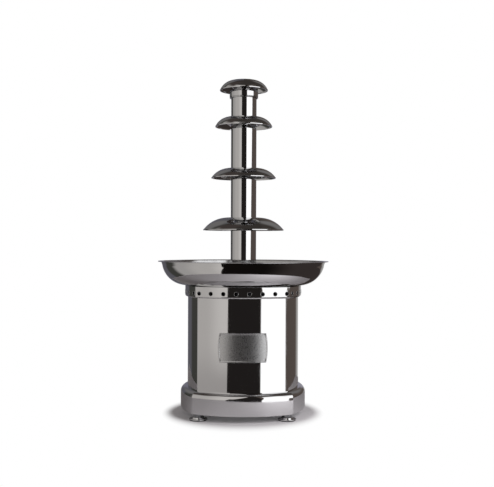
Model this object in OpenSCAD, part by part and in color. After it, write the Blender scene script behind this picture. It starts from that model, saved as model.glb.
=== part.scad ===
// Chocolate fountain: polished steel tower with a crown and three tiers over a round bowl,
// on a square base with bowed faces. Millimetres, +Z up, the front faces -Y,
// and the origin lies on the floor under the middle of the tower.

/* [Base] */
// Reach of the body's bowed faces from the centre
body_half = 110; // [100:0.5:120]
// Distance of each bowed face's arc centre beyond the centre of the body
face_bow = 55; // [40:1:80]
// How far each vertical corner is trimmed back
corner_trim = 0.5; // [0.2:0.1:2]
// Sheet thickness of the casing
casing_wall = 1.2; // [0.8:0.1:2]
// Height of the body between plinth and collar
body_h = 177; // [165:1:210]
// How far the plinth stands out beyond the body
plinth_step = 13.5; // [10:0.5:18]
// Height of the plinth skirt
plinth_h = 39.7; // [34:0.1:50]
// Radius of the plinth's top edge
plinth_edge_r = 11; // [5:0.5:12]
// Thickness of the base plate
base_plate_t = 2; // [1.5:0.1:4]
// How far the base plate's edge lies behind the skirt
base_plate_inset = 0.8; // [0.4:0.1:2]

/* [Vent collar] */
// How far the collar stands out beyond the body
collar_step = 5.5; // [4.5:0.1:8]
// Height of the collar
collar_h = 22; // [20:0.5:30]
// Radius of the collar's lower edge
collar_edge_r = 3.5; // [2:0.5:4]
// Diameter of a vent hole
vent_d = 7; // [4:0.5:9]
// Vent holes on each face
vent_count = 8; // [4:1:9]
// Distance between vent holes along the face
vent_pitch = 24.8; // [18:0.1:26]
// Height of the vent holes above the collar's lower edge
vent_rise = 9; // [8.5:0.1:12]
// Width of the collar's turned-in flanges
collar_flange_w = 12; // [10:0.5:16]

/* [Bowl] */
// Radius of the bowl's flat bottom
bowl_flat_r = 115; // [105:1:120]
// Radius of the bowl's curved side
bowl_side_r = 47; // [40:1:60]
// Width of the bowl's flange
bowl_flange_w = 8; // [5:0.5:14]
// Sheet thickness of the bowl
bowl_wall = 1.2; // [0.8:0.1:2]

/* [Tower] */
// Outside diameter of the tower tube
tube_d = 50.8; // [48:0.1:60]
// Wall of the tower tube
tube_wall = 1.2; // [1:0.1:2]
// Height of the tower tube above the bowl's floor
tube_h = 402.3; // [396:0.1:460]
// Width of the inlet slots at the foot of the tube
inlet_w = 22; // [12:1:26]
// Height of the inlet slots
inlet_h = 30; // [20:1:36]
// Diameter of the pins that carry the tiers
tier_pin_d = 4; // [3:0.5:5]
// Gap between the tube and the hubs that slide on it
hub_gap = 0.3; // [0.2:0.05:0.5]
// Sheet thickness of the tiers
tier_wall = 1.2; // [0.8:0.1:1.6]
// Wall of the tiers' hubs
hub_wall = 2; // [1.5:0.1:3]

/* [Lower tier] */
// Radius of the lower tier
lower_r = 80.5; // [72:0.5:88]
// Drop of the lower tier's rim below the top of the tube
lower_drop = 294.5; // [290:0.1:306]
// Radius of the lower tier's dome
lower_dome_r = 60; // [56:0.5:64]
// Distance of the dome's arc centre from the tower axis
lower_dome_c = 32; // [31:0.5:34]

/* [Middle tier] */
// Radius of the middle tier
middle_r = 64.5; // [58:0.5:68]
// Drop of the middle tier's rim below the top of the tube
middle_drop = 190.5; // [184:0.1:196]
// Radius of the middle tier's dome
middle_dome_r = 41; // [39:0.5:44]
// Distance of the dome's arc centre from the tower axis
middle_dome_c = 30; // [29:0.5:32]

/* [Upper tier] */
// Radius of the upper tier
upper_r = 57; // [53:0.5:59]
// Drop of the upper tier's rim below the top of the tube
upper_drop = 88; // [82:0.1:92]
// Radius of the upper tier's dome
upper_dome_r = 30.5; // [29.5:0.1:34]
// Distance of the dome's arc centre from the tower axis
upper_dome_c = 29; // [28:0.5:31]

/* [Crown] */
// Radius of the crown
crown_r = 48; // [44:0.5:49]
// Drop of the crown's rim below the top of the tube
crown_drop = 15.5; // [14:0.1:18]
// Radius of the crown's dome
crown_dome_r = 30; // [29:0.1:34]
// Distance of the crown dome's arc centre from the tower axis
crown_dome_c = 20; // [19.5:0.5:22]
// Wall of the crown's sleeve
sleeve_wall = 2.8; // [2:0.1:4]
// Length of the crown's sleeve
sleeve_h = 32; // [28:0.5:40]

/* [Auger] */
// Diameter of the auger's core
auger_core_d = 16; // [15:0.5:20]
// Gap between the auger's flight and the tube
auger_gap = 1; // [0.6:0.1:2]
// Rise of the flight in one turn
auger_pitch = 46; // [30:1:60]
// Thickness of the flight along the axis
flight_t = 2.5; // [2:0.1:4]

/* [Badge] */
// Width of the blank badge at its bulging sides
badge_w = 94; // [70:1:110]
// Height of the badge
badge_h = 55.5; // [40:0.5:70]
// How far the badge's sides bulge
badge_bulge = 3; // [1:0.5:6]
// Thickness of the badge
badge_t = 1; // [0.8:0.1:2]
// Height of the badge's middle above the plinth
badge_rise = 85; // [60:1:110]
// Width of the badge's raised border
badge_border = 3; // [2:0.5:5]
// Height of the badge's raised border
badge_relief = 0.4; // [0.2:0.1:0.6]

/* [Control panel] */
// Width of the control panel
panel_w = 116; // [112:1:124]
// Height of the control panel
panel_h = 84; // [80:1:100]
// Sheet thickness of the control panel
panel_t = 1.5; // [1:0.1:2]
// How far the panel's face stands out beyond the body
panel_proud = 1.5; // [1:0.1:4]
// Depth of the control panel's tray
panel_depth = 17; // [15:0.5:24]
// Height of the panel's middle above the plinth
panel_rise = 85; // [70:1:100]
// Diameter of the thermostat knob
knob_d = 32; // [26:1:36]
// Height of the thermostat knob
knob_h = 16; // [12:0.5:20]
// Width of a rocker switch's button
rocker_w = 11; // [9:0.5:13]
// Height of a rocker switch's button
rocker_h = 18; // [14:0.5:22]
// Tilt of a rocker button either way
rocker_tilt = 10; // [6:1:12]

/* [Drive] */
// Gear module
gear_module = 1.25; // [1:0.05:1.25]
// Teeth on the output gear
gear_teeth = 54; // [48:1:56]
// Teeth on the motor's pinion
pinion_teeth = 18; // [16:1:20]
// Play between the gears' teeth
gear_backlash = 0.3; // [0.2:0.05:0.4]
// Diameter of the drive shaft
shaft_d = 12; // [10:0.5:12]
// Diameter of the motor
motor_d = 74; // [60:1:78]
// Length of the motor's can
motor_h = 76; // [60:1:90]

/* [Feet] */
// Distance of each foot's axis behind the body's bowed faces
foot_inset = 25.7; // [24:0.1:30]
// Diameter of a foot's pad
foot_pad_d = 35; // [30:0.5:38]
// Height of the base plate above the floor
foot_gap = 13.3; // [13:0.1:24]
// Diameter of the levelling screw
foot_stud_d = 10; // [8:1:12]
// Travel of the levelling screw
foot_travel = 10; // [4:1:12]

/* [Hidden] */
$fn = 96;
eps = 1;
running_gap = 0.05;
seat_gap = 0.1;
part_gap = 0.3;
steel = [0.78, 0.79, 0.81];
satin = [0.66, 0.66, 0.67];
black = [0.12, 0.12, 0.13];
brass = [0.78, 0.62, 0.30];
aluminium = [0.82, 0.83, 0.84];
rubber = [0.16, 0.16, 0.17];

// Heights of the stack, from the floor up
plate_z = foot_gap;
skirt_z = plate_z + base_plate_t;
body_z = skirt_z + plinth_h;
collar_z = body_z + body_h;
bowl_z = collar_z + collar_h;
floor_z = bowl_z + bowl_wall;
rim_z = bowl_z + bowl_side_r;
tube_top_z = floor_z + tube_h;

// Casing
plinth_half = body_half + plinth_step;
collar_half = body_half + collar_step;
deck_t = 3;
deck_z = collar_z + casing_wall;
deck_top = deck_z + deck_t;
deck_half = collar_half - collar_edge_r - part_gap;
flange_half = collar_half - collar_flange_w;
rod_d = 8;
rod_side_inset = 52;
rod_front_inset = 30;
rod_x = body_half - rod_side_inset;
rod_y = body_half - rod_front_inset;
plate_vent_d = 8;
nut_h = 6.5;
nut_af = 13;
foot_spots = [[-1, -1], [1, -1], [1, 1], [-1, 1]];

// Bowl, neck and heater
neck_d = 28;
neck_flange_d = tube_d - 2 * tube_wall - 2 * part_gap;
neck_flange_t = 3;
neck_h = 18;
neck_top = floor_z + neck_h;
neck_nut_t = 6;
neck_nut_af = 38;
neck_tail = neck_nut_t + 1;
shaft_bore_d = shaft_d + 2 * running_gap;
seal_h = 4;
seal_d = 20;
heater_r = 84;
heater_t = 6;
heater_bore_d = 52;
heater_z = bowl_z - heater_t;
element_r = 60;
element_d = 7;
post_d = 10;
post_ring_r = 74;
bulb_d = 6;
bulb_l = 50;
bulb_y = 38;

// Tower
tube_r = tube_d / 2;
tube_bore_r = tube_r - tube_wall;
hub_r = tube_r + hub_gap;
hub_lift = 3;
pin_turn = 30;
tower_foot_rim = 6;
tower_foot_h = inlet_h + tower_foot_rim;
tube_z = floor_z + tower_foot_h;
bead_r = 0.9;
sleeve_bead = 1.4;
pin_count = 3;

// Auger and drive shaft
hex_step = 2.5;
hex_af = shaft_d - hex_step;
hex_h = 20;
hex_gap = 0.2;
shoulder_gap = 1;
shaft_shoulder_z = neck_top + shoulder_gap;
shaft_top = shaft_shoulder_z + hex_h;
auger_z = shaft_shoulder_z + part_gap;
auger_drop = 6;
auger_top = tube_top_z - auger_drop;
boss_d = 22;
boss_head = 8;
boss_h = hex_h + boss_head;
flight_r = tube_bore_r - auger_gap;
flight_start = 4;
flight_end = 8;
flight_bite = 0.4;
flight_z = auger_z + flight_start;
flight_turns = (auger_top - flight_end - flight_z) / auger_pitch;
flight_steps = 20;

// Gear train and motor
gear_distance = gear_module * (gear_teeth + pinion_teeth) / 2;
motor_y = -gear_distance;
gear_plate_t = 8;
gear_space = 18;
upper_plate_z = deck_z - gear_plate_t;
lower_plate_z = upper_plate_z - gear_space - gear_plate_t;
gear_t = 10;
gear_z = lower_plate_z + gear_plate_t + (gear_space - gear_t) / 2;
pressure_angle = 20;
bearing_d = 28;
bearing_clear = 2;
gear_plate_edge = 14;
gear_plate_r = gear_module * gear_teeth / 2 + gear_plate_edge;
gear_post_d = 10;
gear_post_inset = gear_post_d / 2 + 1;
gear_post_spots = [for (a = [20, 90, 160]) polar(gear_plate_r - gear_post_inset, a)];
gear_hub_proud = 2;
pinion_proud = 1;
shaft_tail = 2;
motor_r = motor_d / 2;
motor_wall = 1.5;
motor_z = lower_plate_z - motor_h;
tail_cap_t = 8;
rotor_shaft_d = 8;
rotor_bearing_d = 22;
rotor_gap = 0.5;
stator_t = 12;
fan_t = 8;
fan_gap = 2;
fan_inset = 4;
fan_z = motor_z - fan_t - fan_gap;
fan_r = motor_r - fan_inset;
rotor_shaft_z = fan_z - shaft_tail;
fan_hub_d = 24;
fan_blade_t = 2;
stator_r = motor_r - motor_wall - running_gap;
stator_z = motor_z + tail_cap_t;
stator_h = motor_h - motor_wall - tail_cap_t;
rotor_r = stator_r - stator_t - rotor_gap;
rotor_end_gap = 4;

// Control panel
panel_y = body_half + panel_proud;
panel_back_y = panel_y - panel_depth;
panel_z = body_z + panel_rise;
row_rise = 20;
knob_x = -34;
knob_z = panel_z + row_rise;
spindle_d = 6;
rocker_xs = [10, 36];
rocker_z = panel_z + row_rise;
bezel_w = rocker_w + 5;
bezel_h = rocker_h + 6;
bezel_t = 1.6;
bezel_depth = 20;
rocker_pivot = 7;
rocker_relief = 1.6;
rocker_proud = 2;
rocker_keel = 3;
rocker_pin_d = 3;
rocker_taper = 0.7;
fitting_rim = 2;
lamp_x = 16;
lamp_d = 10;
fuse_x = 40;
fuse_d = 14;
fitting_z = panel_z - row_rise;
inlet_x = -24;
socket_w = 25;
socket_h = 17;
socket_depth = 19;
inlet_wall = 2;
inlet_ear = 11;
inlet_plate_t = 2.5;
inlet_pin_l = 13;
inlet_pin_tail = 6;
inlet_pin_w = 2;
inlet_pin_h = 4;
inlet_pin_spots = [[-7, -2], [0, 3], [7, -2]];
inlet_plate_edge = 1;
inlet_screw_x = socket_w / 2 + inlet_wall + inlet_ear / 2;
inlet_screw_d = 3;
inlet_screw_tail = 4;
screw_head_t = 1.8;
screw_slot_w = 0.8;
thermostat_w = 34;
thermostat_depth = 24;
knob_gap = 0.6;
spindle_reach = knob_h * 0.6;
knob_grips = 18;
knob_grip_r = 1.6;
knob_skirt_h = 3;
knob_skirt_step = 3;
knob_edge_r = 1.5;
lamp_tail = 22;
lamp_rim_t = 1.5;
fuse_tail = 30;
fuse_cap_t = 3;
fuse_slot_w = 1.4;

// Feet
stud_hold = 6;
stud_l = foot_travel + stud_hold;
foot_offset = body_half - foot_inset;
pad_h = 7;
pad_lip_h = 2.5;
pad_top_d = 24;
pad_socket_h = 4;
lock_nut_h = foot_gap - pad_h;
pad_lip_r = 1;
pad_dome_r = 2;
lock_nut_af = foot_stud_d * 1.7;
bush_wall = 6;
bush_d = foot_stud_d + 2 * bush_wall;
bush_head = 4;
bush_h = stud_l + bush_head;

// Shared shapes

// Distance from the centre to a sharp corner between two bowed faces
function corner_reach(half) =
  let (r = half + face_bow)
  sqrt(2) * (sqrt(2 * r * r - face_bow * face_bow) - face_bow) / 2;

// Half section of a disc with rounded outer edges
module disc_section(r, h, top_r, bottom_r) {
  translate([0, bottom_r]) square([r, h - top_r - bottom_r]);
  if (top_r > 0) {
    square_h = h - bottom_r;
    translate([0, bottom_r]) square([r - top_r, square_h]);
    translate([r - top_r, h - top_r]) circle(top_r);
  }
  if (bottom_r > 0) {
    square([r - bottom_r, h - top_r]);
    translate([r - bottom_r, bottom_r]) circle(bottom_r);
  }
}

// Upright block whose plan is a square with bowed sides and trimmed corners
module bowed_block(half, z, h, top_r = 0, bottom_r = 0) {
  trim_r = corner_reach(half) - corner_trim;
  intersection() {
    sharp_block(half, z, h, top_r, bottom_r);
    translate([0, 0, z]) cylinder(h = h, r = trim_r);
  }
}

// The same block before its corners are trimmed
module sharp_block(half, z, h, top_r, bottom_r) {
  intersection_for (turn = [0, 90, 180, 270]) {
    rotate(turn) translate([0, face_bow, z])
      rotate_extrude() disc_section(half + face_bow, h, top_r, bottom_r);
  }
}

// Straight bore or pin along Z
module rod(d, z, h) {
  translate([0, 0, z]) cylinder(h = h, d = d);
}

module ring(outer_d, inner_d, z, h) {
  difference() {
    rod(outer_d, z, h);
    rod(inner_d, z - eps, h + 2 * eps);
  }
}

// Hexagonal prism across its flats
module hexagon(af, z, h) {
  translate([0, 0, z]) cylinder(h = h, d = af / cos(30), $fn = 6);
}

// Puts children at the four tie rods
module at_rods() {
  for (spot = foot_spots) translate([spot[0] * rod_x, spot[1] * rod_y, 0]) children();
}

// Puts children at one foot
module at_foot(i) {
  translate([foot_spots[i][0] * foot_offset, foot_spots[i][1] * foot_offset, 0]) children();
}

// Puts children on the motor's axis
module at_motor() {
  translate([0, motor_y, 0]) children();
}

// Turns children so that their +Z points out of the back panel
module out_of_panel(x, z, y = panel_y) {
  translate([x, y, z]) rotate([-90, 0, 0]) children();
}

// Involute of a base circle, at a given angle of unwinding
function involute(base_r, a) =
  base_r * [cos(a) + a * PI / 180 * sin(a), sin(a) - a * PI / 180 * cos(a)];
function turned(p, a) = [p[0] * cos(a) - p[1] * sin(a), p[0] * sin(a) + p[1] * cos(a)];
function unwind(base_r, r) = sqrt(max(0, r * r / (base_r * base_r) - 1)) * 180 / PI;
function polar(r, a) = [r * cos(a), r * sin(a)];

// Outline of a spur gear with one tooth on the +X axis
module gear_outline(teeth) {
  pitch_r = gear_module * teeth / 2;
  base_r = pitch_r * cos(pressure_angle);
  tip_r = pitch_r + gear_module;
  root_r = pitch_r - 1.25 * gear_module;
  start = unwind(base_r, max(base_r, root_r));
  pitch_a = unwind(base_r, pitch_r);
  at_pitch = involute(base_r, pitch_a);
  half_tooth = 90 / teeth - gear_backlash / pitch_r * 90 / PI;
  lean = half_tooth + atan2(at_pitch[1], at_pitch[0]);
  steps = 4;
  flank = [for (i = [0:steps]) involute(base_r, start + (unwind(base_r, tip_r) - start) * i / steps)];
  right = concat([polar(root_r, -lean)], [for (p = flank) turned(p, -lean)]);
  left = [for (i = [len(right) - 1:-1:0]) [right[i][0], -right[i][1]]];
  tooth = concat(right, left);
  polygon([for (t = [0:teeth - 1]) for (p = tooth) turned(p, t * 360 / teeth)]);
}

// Base and casing

module base_plate() color(satin) difference() {
  bowed_block(plinth_half - base_plate_inset, plate_z, base_plate_t);
  at_rods() rod(rod_d + 2 * running_gap, plate_z - eps, base_plate_t + 2 * eps);
  for (i = [0:3]) at_foot(i)
    rod(foot_stud_d + 2 * running_gap, plate_z - eps, base_plate_t + 2 * eps);
  at_motor() for (turn = [0:30:330]) rotate(turn)
    translate([fan_r - plate_vent_d, 0, 0]) rod(plate_vent_d, plate_z - eps, base_plate_t + 2 * eps);
}

module plinth_skirt() color(steel) difference() {
  bowed_block(plinth_half, skirt_z, plinth_h, plinth_edge_r);
  bowed_block(plinth_half - casing_wall, skirt_z - eps, plinth_h - casing_wall + eps,
    plinth_edge_r - casing_wall);
  bowed_block(body_half - collar_flange_w, skirt_z, plinth_h + eps);
}

module body_shell() color(steel) difference() {
  bowed_block(body_half, body_z, body_h);
  bowed_block(body_half - casing_wall, body_z - eps, body_h + 2 * eps);
  translate([-panel_w / 2 - part_gap, panel_back_y - panel_depth, panel_z - panel_h / 2 - part_gap])
    cube([panel_w + 2 * part_gap, 3 * panel_depth, panel_h + 2 * part_gap]);
}

module vent_collar() color(steel) difference() {
  face_r = collar_half + face_bow;
  vent_step = vent_pitch / face_r * 180 / PI;
  bowed_block(collar_half, collar_z, collar_h, 0, collar_edge_r);
  bowed_block(collar_half - casing_wall, collar_z + casing_wall, collar_h - 2 * casing_wall, 0,
    collar_edge_r - casing_wall);
  bowed_block(flange_half, collar_z - eps, collar_h + 2 * eps);
  for (turn = [0, 90, 180, 270]) rotate(turn) translate([0, face_bow, collar_z + vent_rise])
    for (i = [0:vent_count - 1]) rotate((i - (vent_count - 1) / 2) * vent_step)
      translate([0, eps - face_r + 2 * casing_wall, 0]) rotate([90, 0, 0])
        cylinder(h = 2 * casing_wall + 2 * eps, d = vent_d);
}

module deck_plate() color(satin) difference() {
  bowed_block(deck_half, deck_z, deck_t);
  rod(bearing_d + 2 * bearing_clear, deck_z - eps, deck_t + 2 * eps);
  at_rods() rod(rod_d + 2 * running_gap, deck_z - eps, deck_t + 2 * eps);
}

module tie_rods() color(satin) at_rods()
  rod(rod_d, plate_z - nut_h, deck_top - plate_z + 2 * nut_h);

module tie_rod_nuts() color(satin) at_rods() for (z = [plate_z - nut_h, deck_top]) difference() {
  hexagon(nut_af, z, nut_h);
  rod(rod_d + 2 * running_gap, z - eps, nut_h + 2 * eps);
}

// Barrel-shaped outline of the badge, drawn in by an inset
module badge_outline(inset) {
  bulge_r = (badge_h * badge_h / 4 + badge_bulge * badge_bulge) / (2 * badge_bulge);
  intersection() {
    square([badge_w - 2 * inset, badge_h - 2 * inset], center = true);
    translate([badge_w / 2 - bulge_r, 0]) circle(bulge_r - inset, $fn = 360);
    translate([bulge_r - badge_w / 2, 0]) circle(bulge_r - inset, $fn = 360);
  }
}

module badge_plate() color(satin) {
  face_r = body_half + face_bow + seat_gap;
  translate([0, face_bow, body_z + badge_rise]) difference() {
    intersection() {
      rotate([90, 0, 0]) linear_extrude(face_r + badge_t + eps) badge_outline(0);
      ring(2 * (face_r + badge_t), 2 * face_r, -badge_h, 2 * badge_h);
    }
    intersection() {
      rotate([90, 0, 0]) linear_extrude(face_r + badge_t + eps) badge_outline(badge_border);
      ring(2 * (face_r + badge_t) + 2 * eps, 2 * (face_r + badge_t - badge_relief),
        -badge_h, 2 * badge_h);
    }
  }
}

// Bowl, neck and heater

// Half section of the bowl's outside, or of its inside when drawn in by the wall
module bowl_section(inset) {
  r = bowl_side_r - inset;
  translate([0, rim_z - r]) square([bowl_flat_r, r + (inset > 0 ? eps : 0)]);
  intersection() {
    translate([bowl_flat_r, rim_z]) circle(r, $fn = 180);
    translate([bowl_flat_r - eps, rim_z - r]) square([r + eps, r + (inset > 0 ? eps : 0)]);
  }
  if (inset > 0) translate([bowl_flat_r, rim_z - eps]) square([r, 2 * eps]);
}

module bowl() color(steel) difference() {
  rotate_extrude($fn = 180) {
    difference() {
      bowl_section(0);
      bowl_section(bowl_wall);
    }
    translate([bowl_flat_r + bowl_side_r - bowl_wall, rim_z - bowl_wall])
      square([bowl_flange_w + bowl_wall - bowl_wall / 2, bowl_wall]);
    translate([bowl_flat_r + bowl_side_r + bowl_flange_w - bowl_wall / 2, rim_z - bowl_wall / 2])
      circle(bowl_wall / 2);
  }
  rod(neck_d + 2 * running_gap, bowl_z - eps, bowl_wall + 2 * eps);
}

module neck_bush() color(brass) difference() {
  union() {
    rod(neck_d, bowl_z - neck_tail, neck_tail + bowl_wall + neck_h);
    rod(neck_flange_d, floor_z, neck_flange_t);
  }
  rod(shaft_bore_d, bowl_z - neck_tail - eps, neck_tail + bowl_wall + neck_h + 2 * eps);
  rod(seal_d + 2 * running_gap, neck_top - seal_h, seal_h + eps);
}

module neck_nut() color(brass) difference() {
  hexagon(neck_nut_af, bowl_z - neck_nut_t, neck_nut_t);
  rod(neck_d + 2 * running_gap, bowl_z - neck_nut_t - eps, neck_nut_t + 2 * eps);
}

module shaft_seal() color(rubber)
  ring(seal_d, shaft_bore_d, neck_top - seal_h, seal_h);

module heater_plate() color(aluminium)
  ring(2 * heater_r, heater_bore_d, heater_z, heater_t);

module heater_element() color(satin) rotate_extrude() {
  translate([element_r, heater_z - element_d / 2]) circle(d = element_d);
  translate([element_r - element_d / 2, heater_z - element_d / 2]) square([element_d, element_d / 2]);
}

module heater_posts() color(satin) for (turn = [45:90:315]) rotate(turn)
  translate([post_ring_r, 0, 0]) rod(post_d, deck_top, heater_z - deck_top);

module thermostat_bulb() color(brass) {
  translate([-bulb_l / 2, bulb_y, heater_z - bulb_d / 2]) rotate([0, 90, 0])
    cylinder(h = bulb_l, d = bulb_d);
  translate([-bulb_l / 4, bulb_y - bulb_d / 2, heater_z - bulb_d / 2])
    cube([bulb_l / 2, bulb_d, bulb_d / 2]);
}

// Control panel

// Holes for the fittings, cut through the panel's face
module panel_cuts() {
  cut_h = panel_t + 2 * eps;
  cut_y = panel_y - panel_t - eps;
  out_of_panel(knob_x, knob_z, cut_y) cylinder(h = cut_h, d = spindle_d + 2 * part_gap);
  for (x = rocker_xs) out_of_panel(x, rocker_z, cut_y) translate([0, 0, cut_h / 2])
    cube([bezel_w - 2 * bezel_t, bezel_h - 2 * bezel_t, cut_h], center = true);
  out_of_panel(lamp_x, fitting_z, cut_y) cylinder(h = cut_h, d = lamp_d);
  out_of_panel(fuse_x, fitting_z, cut_y) cylinder(h = cut_h, d = fuse_d);
  out_of_panel(inlet_x, fitting_z, cut_y) translate([0, 0, cut_h / 2])
    cube([socket_w + 2 * inlet_wall + 2 * running_gap, socket_h + 2 * inlet_wall + 2 * running_gap, cut_h],
      center = true);
  for (side = [-1, 1]) out_of_panel(inlet_x + side * inlet_screw_x, fitting_z, cut_y)
    cylinder(h = cut_h, d = inlet_screw_d + 2 * running_gap);
}

module control_panel() color(steel) difference() {
  translate([-panel_w / 2, panel_back_y, panel_z - panel_h / 2]) cube([panel_w, panel_depth, panel_h]);
  translate([-panel_w / 2 + panel_t, panel_back_y - eps, panel_z - panel_h / 2 + panel_t])
    cube([panel_w - 2 * panel_t, panel_depth - panel_t + eps, panel_h - 2 * panel_t]);
  panel_cuts();
}

module thermostat() color(black) out_of_panel(knob_x, knob_z, panel_y - panel_t - thermostat_depth)
  difference() {
    translate([-thermostat_w / 2, -thermostat_w / 2, 0])
      cube([thermostat_w, thermostat_w, thermostat_depth]);
    translate([0, 0, thermostat_depth / 2])
      cylinder(h = thermostat_depth, d = spindle_d + 2 * running_gap);
  }

module knob_spindle() color(satin)
  out_of_panel(knob_x, knob_z, panel_y - panel_t - thermostat_depth / 2)
    cylinder(h = thermostat_depth / 2 + panel_t + knob_gap + spindle_reach, d = spindle_d);

module knob() color(black) out_of_panel(knob_x, knob_z, panel_y + knob_gap) difference() {
  union() {
    cylinder(h = knob_skirt_h, d = knob_d);
    translate([0, 0, knob_skirt_h]) rotate_extrude()
      disc_section(knob_d / 2 - knob_skirt_step, knob_h - knob_skirt_h, knob_edge_r, 0);
  }
  for (i = [0:knob_grips - 1]) rotate(i * 360 / knob_grips)
    translate([knob_d / 2 - knob_skirt_step + knob_grip_r * 0.4, 0, knob_skirt_h + 1])
      cylinder(h = knob_h, r = knob_grip_r);
  translate([0, 0, -eps]) cylinder(h = spindle_reach + eps, d = spindle_d + 2 * running_gap);
}

module switch_bezels() color(black) for (x = rocker_xs) out_of_panel(x, rocker_z) difference() {
  union() {
    translate([-bezel_w / 2, -bezel_h / 2, 0]) cube([bezel_w, bezel_h, bezel_t]);
    translate([-bezel_w / 2 + bezel_t + running_gap, -bezel_h / 2 + bezel_t + running_gap, -bezel_depth])
      cube([bezel_w - 2 * bezel_t - 2 * running_gap, bezel_h - 2 * bezel_t - 2 * running_gap,
        bezel_depth + bezel_t / 2]);
  }
  translate([-rocker_w / 2 - part_gap, -rocker_h / 2 - part_gap, -bezel_depth + bezel_t])
    cube([rocker_w + 2 * part_gap, rocker_h + 2 * part_gap, bezel_depth + bezel_t]);
}

// Rocker button tilted to its off side, with two faces that meet over the pivot
module rocker(x) {
  reach = rocker_h / 2 - rocker_relief;
  crest = rocker_pivot + bezel_t + rocker_proud;
  drop = reach * tan(rocker_tilt);
  out_of_panel(x, rocker_z, panel_y - rocker_pivot) {
    rotate([-rocker_tilt, 0, 0]) translate([-rocker_w / 2, 0, 0]) rotate([90, 0, 90])
      linear_extrude(rocker_w)
        polygon([[-reach, crest + drop], [0, crest], [reach, crest + drop], [reach * rocker_taper, 0],
          [0, -rocker_keel], [-reach * rocker_taper, 0]]);
    rotate([0, 90, 0]) translate([0, 0, -rocker_w / 2 - part_gap / 2])
      cylinder(h = rocker_w + part_gap, d = rocker_pin_d);
  }
}

module motor_rocker() color(black) rocker(rocker_xs[0]);

module heat_rocker() color([0.6, 0.1, 0.08]) rocker(rocker_xs[1]);

module pilot_lamp() color([0.75, 0.35, 0.08]) out_of_panel(lamp_x, fitting_z) {
  translate([0, 0, -lamp_tail]) cylinder(h = lamp_tail + lamp_rim_t, d = lamp_d - 2 * running_gap);
  cylinder(h = lamp_rim_t, d = lamp_d + 2 * fitting_rim);
  translate([0, 0, lamp_rim_t]) intersection() {
    translate([0, 0, -lamp_d / 2]) sphere(d = lamp_d * sqrt(2));
    cylinder(h = lamp_d, d = lamp_d - 2 * running_gap);
  }
}

module fuse_holder() color(black) out_of_panel(fuse_x, fitting_z) difference() {
  union() {
    translate([0, 0, -fuse_tail]) cylinder(h = fuse_tail + eps, d = fuse_d - 2 * running_gap);
    cylinder(h = fuse_cap_t, d = fuse_d + 2 * fitting_rim);
    cylinder(h = 2 * fuse_cap_t, d = fuse_d);
  }
  translate([-fuse_d, -fuse_slot_w / 2, 2 * fuse_cap_t - fuse_slot_w])
    cube([2 * fuse_d, fuse_slot_w, 2 * fuse_slot_w]);
}

module power_inlet() color(black) out_of_panel(inlet_x, fitting_z) difference() {
  union() {
    translate([-socket_w / 2 - inlet_wall, -socket_h / 2 - inlet_wall, -socket_depth - inlet_wall])
      cube([socket_w + 2 * inlet_wall, socket_h + 2 * inlet_wall,
        socket_depth + inlet_wall + inlet_plate_t / 2]);
    translate([-socket_w / 2 - inlet_wall - inlet_ear, -socket_h / 2 - inlet_wall - inlet_plate_edge, 0])
      cube([socket_w + 2 * (inlet_wall + inlet_ear), socket_h + 2 * (inlet_wall + inlet_plate_edge),
        inlet_plate_t]);
  }
  translate([-socket_w / 2, -socket_h / 2, -socket_depth])
    cube([socket_w, socket_h, socket_depth + inlet_plate_t + eps]);
  inlet_pin_shapes(running_gap);
  for (side = [-1, 1]) translate([side * inlet_screw_x, 0, -eps])
    cylinder(h = inlet_plate_t + 2 * eps, d = inlet_screw_d + 2 * running_gap);
}

// Three flat contact blades standing in the socket's floor
module inlet_pin_shapes(play) {
  pin_l = inlet_pin_l + inlet_wall + inlet_pin_tail;
  for (spot = inlet_pin_spots)
    translate([spot[0], spot[1], pin_l / 2 - socket_depth - inlet_wall - inlet_pin_tail])
      cube([inlet_pin_w + 2 * play, inlet_pin_h + 2 * play, pin_l], center = true);
}

module inlet_pins() color(steel) out_of_panel(inlet_x, fitting_z) inlet_pin_shapes(0);

module inlet_screws() color(steel) for (side = [-1, 1])
  out_of_panel(inlet_x + side * inlet_screw_x, fitting_z, panel_y + inlet_plate_t) difference() {
    union() {
      cylinder(h = screw_head_t, d = inlet_screw_d * 1.9);
      translate([0, 0, -inlet_plate_t - panel_t - inlet_screw_tail])
        cylinder(h = inlet_plate_t + panel_t + inlet_screw_tail + eps, d = inlet_screw_d);
    }
    translate([-inlet_screw_d, -screw_slot_w / 2, screw_head_t - screw_slot_w])
      cube([2 * inlet_screw_d, screw_slot_w, 2 * screw_slot_w]);
  }

// Gear train and motor

// Plan of a gear plate: round about both axes, with a waist between
module gear_plate_block(z) {
  rod(2 * gear_plate_r, z, gear_plate_t);
  at_motor() rod(motor_d, z, gear_plate_t);
}

module upper_gear_plate() color(aluminium) difference() {
  gear_plate_block(upper_plate_z);
  rod(bearing_d + 2 * running_gap, upper_plate_z - eps, gear_plate_t + 2 * eps);
  at_motor() rod(rotor_bearing_d, upper_plate_z - eps, gear_plate_t / 2 + eps);
}

module lower_gear_plate() color(aluminium) difference() {
  gear_plate_block(lower_plate_z);
  rod(bearing_d + 2 * running_gap, lower_plate_z - eps, gear_plate_t + 2 * eps);
  at_motor() rod(rotor_shaft_d + 2 * running_gap, lower_plate_z - eps, gear_plate_t + 2 * eps);
}

module gear_posts() color(satin) {
  post_z = lower_plate_z + gear_plate_t;
  for (spot = gear_post_spots) translate([spot[0], spot[1], 0]) rod(gear_post_d, post_z, gear_space);
  at_motor() for (a = [-150, -90, -30]) rotate(a)
    translate([motor_r - gear_post_inset, 0, 0]) rod(gear_post_d, post_z, gear_space);
}

module shaft_bearings() color(steel) for (z = [lower_plate_z, upper_plate_z])
  ring(bearing_d, shaft_bore_d, z, gear_plate_t);

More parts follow.
